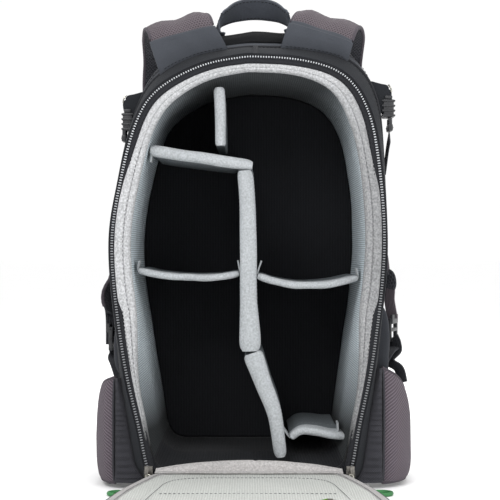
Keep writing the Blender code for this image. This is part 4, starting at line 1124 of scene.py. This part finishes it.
def make_strap_root(side, path, ways, up):
    """The smooth sleeve that is sewn into the top seam and covers the start of the strap."""
    seam = section("outer_shell", 1, -0.082)
    seam = seam[seam[:, 1] > 0.3]
    seam = seam[np.argsort(seam[:, 0])]
    a, b = ROOT_SPAN[side]
    u = np.linspace(-0.5, 0.5, 33)
    foot_x = a + (b - a) * (u + 0.5)
    foot = np.stack([foot_x, foot_x * 0 - 0.0822, np.interp(foot_x, seam[:, 0], seam[:, 1]) - 0.0012], axis=1)
    k = max(1, int(round(0.006 / (length_of(path) / (len(path) - 1)))))
    way = ways[k] * np.sign(ways[k][0])
    head = path[k] + way * 0.0695 * u[:, None]
    rows = []
    for f in np.linspace(0, 1, 26):
        base = foot * (1 - f) + head * f
        lean = unit(np.array((0.0, -1.0, 0.25)) * (1 - f) + up[k] * f)
        half = np.interp(f, [0, 0.08, 0.5, 0.93, 1], [0.0012, 0.0026, 0.0052, 0.0063, 0.005])
        puff = half * (0.55 + 0.45 * (1 - (2 * np.abs(u)) ** 6))[:, None]
        crease = 0.001 * np.sin(u * 17 + f * 2.0) * math.sin(math.pi * f) * (1 - 2 * np.abs(u))
        front = base + lean * (puff + 0.0018 * math.sin(math.pi * f) + crease[:, None])
        back = base - lean * puff * 0.8
        rows.append(np.vstack([front, back[::-1]]))
    root = surface(f"strap_root_{side}_cover", rows, "strap", across=True, caps=True)
    put(root, "bag", "shell_fabric", f"strap_root_{side}")
    put(stitches(f"strap_root_{side}_stitches", rows[2][2:31] + up[0] * 0.0001, up[0]))


# corners of the cloth in the side seam that the strap's lower webbing is fixed to, in x and z
ANCHOR = {
    "left": [(-0.133, 0.18), (-0.1372, 0.164), (-0.1392, 0.144), (-0.1372, 0.124), (-0.131, 0.116),
    (-0.12, 0.125), (-0.124, 0.15), (-0.128, 0.174)], "right": [(0.135, 0.194), (0.144, 0.178), (0.1468, 0.156),
    (0.146, 0.137), (0.143, 0.116), (0.125, 0.125), (0.127, 0.154), (0.129, 0.18)]}


def make_strap_end(side, sign, path):
    """The ladder lock below the pad, and its webbing down to the hip wing."""
    lock = middle_of(f"strap_lock_{side}")[0] + LOCK_SHIFT[side]
    size = np.array((0.0045, 0.03, 0.025))
    bar = (size[0], size[1], 0.004)
    parts = [(lock + (0, 0, z), bar, 0.0011) for z in (-size[2] / 2 + 0.002, 0.0, size[2] / 2 - 0.002)]
    parts += [(lock + (0, y, 0), (size[0], 0.0042, size[2]), 0.0012)
        for y in (-size[1] / 2 + 0.0021, size[1] / 2 - 0.0021)]
    parts.append((lock + (sign * 0.0024, -0.002, size[2] / 2 - 0.001), (0.0028, 0.024, 0.01), 0.001))
    plastic_part(f"strap_lock_{side}", "frame", parts, (lock, LOCK_TURN[side]))
    facing = (0.75 * sign, -0.66, 0.1)
    if sign > 0:
        top = [(0.15, -0.012, 0.213), (0.1528, -0.0185, 0.203), (0.1526, -0.019, 0.19),
            lock + (0.0004, 0.001, 0.0105)]
        web("strap_webbing_right_top", top, 30, facing, 0.013, 0.0018, material="purple_webbing")
        hem = [(0.147, -0.008, 0.217), (0.151, -0.013, 0.214), (0.152, -0.017, 0.207), (0.151, -0.018, 0.2035)]
        web("shoulder_strap_right_hem", hem, 20, facing, 0.019, 0.0034, material="strap_under", edge=0.5)
    else:
        top = [path[-6] + (0, -0.004, 0), path[-1] + (0.0005, -0.003, -0.001), lock + (0, -0.0015, 0.006),
            lock + (0, -0.0015, -0.006)]
        web("strap_webbing_left_top", top, 30, facing, 0.017, 0.0018)
    low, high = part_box(f"strap_webbing_{side}")
    end = np.array(((low.x if sign > 0 else high.x) + sign * 0.0012, low.y + 0.008, low.z + 0.006))
    top = lock + ((0, -0.004, -0.01) if sign > 0 else (0.003, -0.004, -0.012))
    end = end + ((0, 0, 0) if sign > 0 else (0.003, 0, -0.006))
    run = [top, top + (-sign * 0.0004, -0.003, -0.008), (top + end) / 2 + (sign * 0.0014, -0.002, 0), end]
    web(f"strap_webbing_{side}_run", run, 40, (0.62 * sign, -0.78, 0), 0.017, 0.0017, f"strap_webbing_{side}")
    if sign > 0:
        tail = [(0.0005, -0.003, 0.002), (0.003, -0.006, -0.005), (0.0032, -0.008, -0.013),
            (-0.004, -0.01, -0.021), (-0.003, -0.012, -0.0245), (0.005, -0.015, -0.031),
            (0.0085, -0.017, -0.045)]  # below its top end
        web("strap_webbing_right_tail", top + np.array(tail), 44, (0.62, -0.76, 0.16), 0.014, 0.0019)


# ---- side straps and buckles -----------------------------------------------------------------------
BUCKLE_SHIFT = {"left": (-0.0026, 0, 0.003), "right": (0.001, 0, 0)}


def make_side_buckles():
    for side, sign in LEFT_RIGHT:
        b, size = middle_of(f"side_buckle_{side}")
        b = b - BUCKLE_SHIFT[side]
        size = size * (1.22, 1.0, 1.0)
        parts = [(b, (size[0] * 0.84, size[1] * 0.92, size[2]), 0.0018)]
        parts += [(b + (0, 0, z), (size[0] + 0.0006, size[1] + 0.0004, 0.0021), 0.0009)
            for z in np.linspace(-size[2] * 0.4, size[2] * 0.4, 4)]
        parts.append((b + (0, 0, size[2] * 0.6), (size[0] * 0.6, size[1] * 0.98, 0.0034), 0.0012))
        plastic_part(f"side_buckle_{side}", "body", parts)
        p, size = middle_of(f"side_plug_{side}")
        parts = [(p + (0, 0, -0.003), (size[0] * 0.86, size[1], size[2] * 0.52), 0.0016)]
        parts += [(p + (0, y, 0.003), (size[0] * 0.62, 0.0036, 0.008), 0.0012) for y in (-0.0086, 0.0, 0.0086)]
        parts.append((p + (0, 0, -0.003), (size[0] + 0.0004, size[1] * 0.8, 0.0018), 0.0008))
        plastic_part(f"side_plug_{side}", "body", parts)
        low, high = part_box(f"side_tab_{side}")
        inner_x, outer_x = (high.x, low.x) if sign < 0 else (low.x, high.x)
        y = (low.y + high.y) / 2
        outline = [(inner_x - sign * 0.012, high.z - 0.003), (inner_x - sign * 0.002, high.z - 0.0058),
            (inner_x * 0.5 + outer_x * 0.5, high.z - 0.0074), (outer_x - sign * 0.0048, high.z - 0.0104),
            (outer_x - sign * 0.002, (low.z + high.z) / 2 - 0.004), (outer_x - sign * 0.003, low.z - 0.003),
            (inner_x * 0.6 + outer_x * 0.4, low.z - 0.008), (inner_x - sign * 0.008, low.z - 0.017)]
        tab = patch(f"side_tab_{side}_web", outline, 57, y - 0.0095, y + 0.0095, "band", 0.0012, 0.0022,
            sign > 0)
        put(tab, "bag", "webbing", f"side_tab_{side}")
        line = curve([(inner_x, y, high.z - 0.0006), (inner_x * 0.35 + outer_x * 0.65, y, high.z - 0.0075),
            (outer_x - sign * 0.0009, y, low.z)], 26)
        ring = curve([line[9] + (sign * 0.0016, -0.01, 0.001), line[13] + (sign * 0.0022, -0.0105, 0),
            line[18] + (sign * 0.002, -0.01, 0)], 14)
        put(tube(f"side_ring_{side}", ring, 0.0008, "wire"), "bag", "metal")
        low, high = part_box(f"side_strap_{side}")
        top = p + (0, 0, -0.0125)
        foot = np.array(((low.x if sign < 0 else high.x) - sign * 0.003, high.y - 0.006, low.z + 0.006))
        web(f"side_strap_{side}_web", [top, (top * 0.45 + foot * 0.55) + (0, -0.006, 0.006), foot], 34,
            (0, 0.9, 0.45), 0.018, 0.0016, f"side_strap_{side}", body=BODY_OF[f"side_strap_{side}"])


# ---- hip belt --------------------------------------------------------------------------------------
WING_PLAN = [(0.0, -0.089), (0.012, -0.084), (0.0255, -0.064), (0.031, -0.03), (0.03, 0.01), (0.025, 0.045),
    (0.018, 0.07)]
WING_TOP = {"left": [0.115, 0.105, 0.08, 0.074, 0.071, 0.067, 0.062],
    "right": [0.125, 0.109, 0.082, 0.074, 0.071, 0.067, 0.062]}
WING_LOW = [0.005, 0.005, 0.005, 0.007, 0.011, 0.017, 0.024]
WING_SIDES = {"left": (0.136, 0.62), "right": (0.1375, 0.96)}
WING_HALF = 0.0064
WING_BAND = 0.012  # share of the length that the gathered band takes
WING_QUILT = 0.55  # where the line of quilting is, as a share of the length


def make_wings():
    count, around = 84, 44
    t = np.linspace(0, 1, count)
    for side, sign in LEFT_RIGHT:
        root_x, reach = WING_SIDES[side]
        body = f"hip_wing_{side}"
        plan = curve([(sign * (root_x + x * reach), y, 0.0) for x, y in WING_PLAN], count)
        top = curve(list(enumerate(WING_TOP[side])), count)[:, 1]
        low = curve(list(enumerate(WING_LOW)), count)[:, 1]
        out = np.cross(tangents(plan), UP) * -sign
        ends = np.interp(t, [0, 0.015, 0.05, 0.95, 0.985, 1], [0.75, 0.92, 1, 1, 0.85, 0.5])
        angle = turns_of(around)
        c, s = np.cos(angle), np.sin(angle)
        flat_a = np.sign(c) * np.abs(c) ** 0.55
        tall = np.sign(s) * np.abs(s) ** 0.4
        rows = []
        for i in range(count):
            mid, half = (top[i] + low[i]) / 2, (top[i] - low[i]) / 2 - 0.0012
            z = mid + half * tall
            groove = 1 - 0.3 * math.exp(-(((t[i] - WING_BAND) / 0.01) ** 2)) - 0.16 * math.exp(
                -(((t[i] - WING_QUILT) / 0.012) ** 2))
            thick = WING_HALF * ends[i] * groove * (1 - 0.3 * np.abs(tall) ** 3)
            points = plan[i] + out[i] * (flat_a * thick)[:, None]
            points[:, 2] = z
            rows.append(points)
        rows = np.array(rows)
        flat = rows.reshape(-1, 3)
        flat += np.repeat(out, around, axis=0) * (0.0007 * ripple(flat, 0.05, 31))[:, None]
        zones = np.repeat((t[:-1] > WING_BAND).astype(int)[:, None], around, axis=1)
        wing = surface(f"hip_wing_{side}_pad", rows, "wing_band wing_mesh", across=True, caps=True, zones=zones)
        put(wing, body, "mesh", f"hip_wing_{side}")
        upper, lower = plan + UP * (top - 0.0014)[:, None], plan + UP * (low + 0.0014)[:, None]
        end = [(*plan[-1][:2], z) for z in np.linspace(top[-1] - 0.004, low[-1] + 0.004, 8)]
        edge = resample(np.vstack([upper[:-1], end, lower[::-1][1:]]), 260)
        put(tube(f"hip_wing_{side}_binding", edge, 0.0022, "strap_edge", flat=(sign, 0.0, 0.0)), body, "mesh")
        k = int(WING_QUILT * count)
        for face, way in (("out", 1), ("in", -1)):
            column = [np.array((*(plan[k] + out[k] * WING_HALF * 0.84 * way)[:2], z))
                for z in np.linspace(low[k] + 0.006, top[k] - 0.006, 30)]
            put(stitches(f"hip_wing_{side}_stitches_{face}", np.array(column), out[k] * way), body, "mesh")
        make_wing_gusset(side, sign, plan, out, top, low)
        make_hip_buckle(side, sign, plan, body)


def make_wing_gusset(side, sign, plan, out, top, low):
    """The gathered cloth that joins a wing's root to the seam along the bag's side."""
    seam = section("outer_shell", 1, -0.09)
    half = AROUND // 2
    edge = seam[:half] if sign < 0 else seam[half:]
    order = np.argsort(edge[:, 1])
    zs = np.linspace(low[0] + 0.0015, top[0] - 0.0015, 64)
    side_x = np.interp(zs, edge[order, 1], edge[order, 0]) + sign * 0.0004
    face, back = [], []
    for z, x in zip(zs, side_x):
        fold = 0.0007 * math.sin(z * 2 * math.pi / 0.0064 + 2.6 * math.sin(z * 90)) + 0.0004 * math.sin(z * 240)
        root = sign * WING_SIDES[side][0]
        line = [(x - sign * 0.0006, -0.0862), (x + sign * 0.0004, -0.09), (x + sign * 0.003, -0.0934 - fold),
            (root * 0.6 + x * 0.4, -0.0952 - fold * 1.6), (root - sign * 0.0006, -0.0936 - fold),
            (root + sign * 0.0008, -0.0892)]
        line = curve(line, 26)
        inner = line + outward(line, closed=False) * 0.001 * sign
        face.append([(*p, z) for p in line])
        back.append([(*p, z) for p in inner[::-1]])
    rows = np.concatenate([np.array(face), np.array(back)], axis=1)
    strip = surface(f"hip_wing_{side}_gusset", rows, "wing_band", across=True, caps=True)
    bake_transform(strip)


def make_hip_buckle(side, sign, plan, body):
    b, size = middle_of(f"hip_buckle_{side}")
    low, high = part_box(f"hip_webbing_{side}")
    start = plan[-1] * (1, 1, 0) + UP * ((low.z + high.z) / 2)
    ahead = unit(plan[-1] - plan[-2])
    line = [start - ahead * 0.006, start + ahead * 0.01, start + ahead * 0.02 + (-sign * 0.001, 0, 0),
        start + ahead * 0.03 + (-sign * 0.004, 0.001, 0)]
    web(f"hip_webbing_{side}_web", line, 30, UP, 0.025, 0.0018, f"hip_webbing_{side}", body=body)
    long, tall, deep = 0.036, 0.028 if side == "left" else 0.025, 0.0068
    parts = [(b + (0, -long * 0.28, 0), (deep, long * 0.4, tall), 0.0022)]
    if side == "left":
        parts += [(b + (0, long * 0.18, 0), (deep * 0.9, long * 0.6, tall * 0.94), 0.0024),
            (b + (0, long * 0.18, tall * 0.3), (deep + 0.001, long * 0.34, tall * 0.18), 0.0014),
            (b + (0, long * 0.18, -tall * 0.3), (deep + 0.001, long * 0.34, tall * 0.18), 0.0014)]
    else:
        parts += [(b + (0, long * 0.16, z * tall), (deep * 0.6, long * 0.58, tall * 0.17), 0.0016)
            for z in (-0.38, 0.0, 0.38)]
    parts += [(b + (0, y * long, 0), (deep + 0.0008, 0.0018, tall * 0.7), 0.0008) for y in (-0.4, -0.32, -0.24)]
    plastic_part(f"hip_buckle_{side}", "body", parts, (b, sign * math.radians(18)))


# ---- grab handle ------------------------------------------------------------------------------------
HANDLE_HINGE = np.array((0.007, -0.03, 0.4872))
HANDLE_SPAN = 0.038
HANDLE_RISE = 0.03
HANDLE_LEAN = math.radians(50.0)
HANDLE_WIDTH = 0.026
HANDLE_UP = np.array((0.0, math.sin(HANDLE_LEAN), math.cos(HANDLE_LEAN)))
YOKE_CREST = ([-0.045, 0.005, 0.056], [0.4682, 0.4748, 0.4728])  # x, and the height of the seam there


def make_handle():
    side = np.array((0.0, math.cos(HANDLE_LEAN), -math.sin(HANDLE_LEAN)))
    profile = [(-1.0, 0.1), (-0.86, 0.42), (-0.58, 0.78), (-0.2, 0.98), (0.24, 0.98), (0.64, 0.78), (0.9, 0.4),
        (1.0, 0.1)]
    line = curve([HANDLE_HINGE + np.array((u * HANDLE_SPAN, 0, 0)) + HANDLE_UP * v * HANDLE_RISE
        for u, v in profile], 90)
    twist = ease((np.abs(np.linspace(-1, 1, 90)) - 0.2) / 0.85)[:, None]
    side = side * (1 - twist) + np.array((0.0, 0.96, -0.25)) * twist
    rows = ribbon_rows(line, side, HANDLE_WIDTH, 0.003, edge=0.55, steps=13)
    arch = surface("handle_web", rows, "handle", across=True, caps=True)
    put(arch, "handle", "webbing", "grab_handle")
    side_way, up = across_of(line, side)
    for mark, s in AB:
        for under, face in (("", up), ("_under", -up)):
            sewn = line + side_way * 0.0102 * s + face * 0.0014
            put(stitches(f"handle_stitches_{mark}{under}", sewn, face), "handle", "webbing")
    make_yoke()


def make_yoke():
    """The padded cloth over the top seam, between the straps, that the handle is sewn to."""
    xs = np.linspace(-0.044, 0.055, 70)
    crest = np.interp(xs, *YOKE_CREST)
    rows = []
    for x, z in zip(xs, crest):
        ends = ease((x + 0.0445) / 0.004) * ease((0.0555 - x) / 0.004)
        line = [(-0.07, z - 0.0128), (-0.064, z - 0.006), (-0.054, z - 0.0012), (-0.042, z + 0.0012),
            (-0.028, z + 0.0022), (-0.016, z + 0.0034), (-0.015, z + 0.002), (-0.03, z - 0.001),
            (-0.045, z - 0.004), (-0.06, z - 0.0085)]
        line = curve(line + line[:1], 41)[:-1]
        middle = line.mean(0)
        line = middle + (line - middle) * (0.5 + 0.5 * ends)
        rows.append([(x, *p) for p in line])
    rows = np.array(rows)
    flat = rows.reshape(-1, 3)
    flat[:, 2] += 0.0008 * ripple(flat * (0.6, 2.2, 1), 0.034, 51) * ease((flat[:, 1] + 0.072) / 0.01)
    yoke = surface("top_yoke", rows, "yoke", across=True, caps=True)
    put(yoke, "bag", "shell_fabric", "handle_patch")
    for mark, s in AB:
        x = HANDLE_HINGE[0] + s * HANDLE_SPAN
        top = HANDLE_HINGE + np.array((s * HANDLE_SPAN, 0, 0)) + HANDLE_UP * 0.002
        foot = np.array((x - s * 0.005, -0.032, np.interp(x, *YOKE_CREST) + 0.0016))
        root = [foot, foot + (s * 0.0044, 0, 0.003), top - HANDLE_UP * 0.002]
        web(f"handle_root_{mark}", root, 16, (0, 1, -0.35), 0.0235, 0.0026, material="handle", edge=0.6)


# ---- front pocket -------------------------------------------------------------------------------------
def make_front_pocket():
    low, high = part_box("front_pocket")
    base = section("front_pocket", 1, low.y + 0.006, 0, 200)
    rows = [standing(base, low.y)]
    for share, inset_by in ((0.1, -0.0004), (0.25, -0.0012), (0.42, -0.001), (0.52, 0.0004), (0.58, 0.001),
            (0.66, 0.0006), (0.76, 0.0022), (0.86, 0.0058), (0.94, 0.011), (0.985, 0.0165)):
        y = low.y + (high.y - low.y) * share
        ring = shrink(base, inset_by)
        points = standing(ring, y)
        wave = 0.0006 * ripple(points, 0.05, 41) * (share > 0.1)
        rows.append(standing(shrink(ring, wave), y))

    def depth(f, ring):
        return high.y - 0.0004 - 0.001 * np.abs(ripple(ring, 0.09, 43)) * (f > 0.1) * (1 - f) * 2

    rows += closing(rows[-1], (0.93, 0.84, 0.72, 0.58, 0.44, 0.3, 0.16, 0.004), depth)
    pocket = surface("front_pocket_cover", rows, "shell", across=True)
    put(thickened(pocket, 0.001), "bag", "shell_fabric", "front_pocket")
    y = low.y + (high.y - low.y) * 0.55
    put(tube("front_pocket_piping", standing(shrink(base, 0.0006), y), 0.0015, "piping", closed=True))
    put(stitches("front_pocket_stitches", standing(shrink(base, 0.0016), y + 0.0036),
        standing(outward(base), 0.3), closed=True))
    z_low, z_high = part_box("front_pocket_zip")
    z, half = (z_low.z + z_high.z) / 2, (z_high.x - z_low.x) / 2
    y = z_low.y
    span = np.array([(x, y + 0.0003, z) for x in np.linspace(-half, half, 50)])
    put(ribbon("front_pocket_tape", span, UP, 0.014, 0.0009, "tape", edge=0.7), "bag", "coil",
        "front_pocket_zip")
    coil("front_pocket_coil", span, np.broadcast_to(UP, span.shape), np.array((0.0, 1.0, 0.0)), "bag", "coil",
        pitch=0.0025)
    for mark, s in (("upper", 1), ("lower", -1)):
        lip = span + np.array((0, 0.0002, s * 0.0068))
        put(ribbon(f"front_pocket_lip_{mark}", lip * (1.02, 1, 1), UP, 0.006, 0.0022, "gusset", crown=0.2))
        put(stitches(f"front_pocket_lip_stitches_{mark}", lip + (0, 0.0011, s * 0.0012), (0, 1, 0)))
    slider, size = middle_of("pocket_slider")
    parts = [(slider + (0, -0.0012, 0), (size[0], 0.0018, size[2]), 0.0008),
        (slider + (0, 0.0006, 0), (size[0] * 0.86, 0.0022, size[2] * 0.82), 0.001),
        (slider + (0, 0.0019, 0), (0.0072, 0.0014, 0.0022), 0.0006)]
    put(assembly("pocket_slider_body", parts, "metal"), "pocket_zip", "metal", "pocket_slider")
    pull, size = middle_of("pocket_pull")
    top = pull + (0, -0.001, size[2] / 2 - 0.001)
    line = [top, pull + (0.0004, 0.0004, 0.002), pull + (0, 0.0002, -size[2] / 2 + 0.001)]
    web("pocket_pull_web", line, 20, (1, 0, 0), size[0], 0.002, "pocket_pull", material="cord",
        body="pocket_pull", edge=0.6)


# ---- sliders and their pulls ----------------------------------------------------------------------------
def make_sliders():
    for side, sign in LEFT_RIGHT:
        s, size = middle_of(f"zip_slider_{side}")
        wide, deep, tall = size
        parts = [(s + (0, deep * 0.3, 0), (wide, 0.0014, tall), 0.0006),
            (s + (0, -deep * 0.16, 0), (wide * 0.94, 0.0016, tall * 0.96), 0.0007),
            (s + (0, 0.0002, tall * 0.3), (wide * 0.34, deep * 0.9, tall * 0.3), 0.0008),
            (s + (0, -deep * 0.4, 0.0), (0.0024, 0.0016, tall * 0.66), 0.0007)]
        parts += [(s + (x * wide * 0.46, 0.0002, -tall * 0.1), (0.001, deep * 0.86, tall * 0.6), 0.0004)
            for x in (-1, 1)]
        put(assembly(f"zip_slider_{side}_body", parts, "metal"), f"zip_slider_{side}", "metal",
            f"zip_slider_{side}")
        low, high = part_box(f"zip_pull_{side}")
        tip = np.array(CORD_ROUTES[side][0])
        hinge = np.array(((low.x + high.x) / 2, high.y - 0.0009, high.z - 0.0008))
        along = unit(tip - hinge)
        width = np.array((0.0024, 0.0, 0.0))
        loop = [hinge - width * 0.9, hinge + along * 0.003 - width, tip - along * 0.003 - width * 0.9,
            tip - along * 0.0004, tip - along * 0.003 + width * 0.9, hinge + along * 0.003 + width,
            hinge + width * 0.9, hinge - along * 0.0008]
        put(tube(f"zip_pull_{side}_wire", resample(loop, 72, closed=True), 0.00085, "wire", closed=True),
            f"zip_pull_{side}", "metal", f"zip_pull_{side}")


BODY_OF = {node: body for body, members in frame["record"]["behaviour"]["bodies"].items() for node in members}
M = make_materials()
make_camera()
make_cords()
make_stage()
make_shell()
make_liner()
make_body_zip()
make_base()
make_hinge_cover()
make_panel()
make_dividers()
make_straps()
make_side_buckles()
make_wings()
make_handle()
make_front_pocket()
make_sliders()
bpy.context.scene.view_settings.view_transform = "Standard"
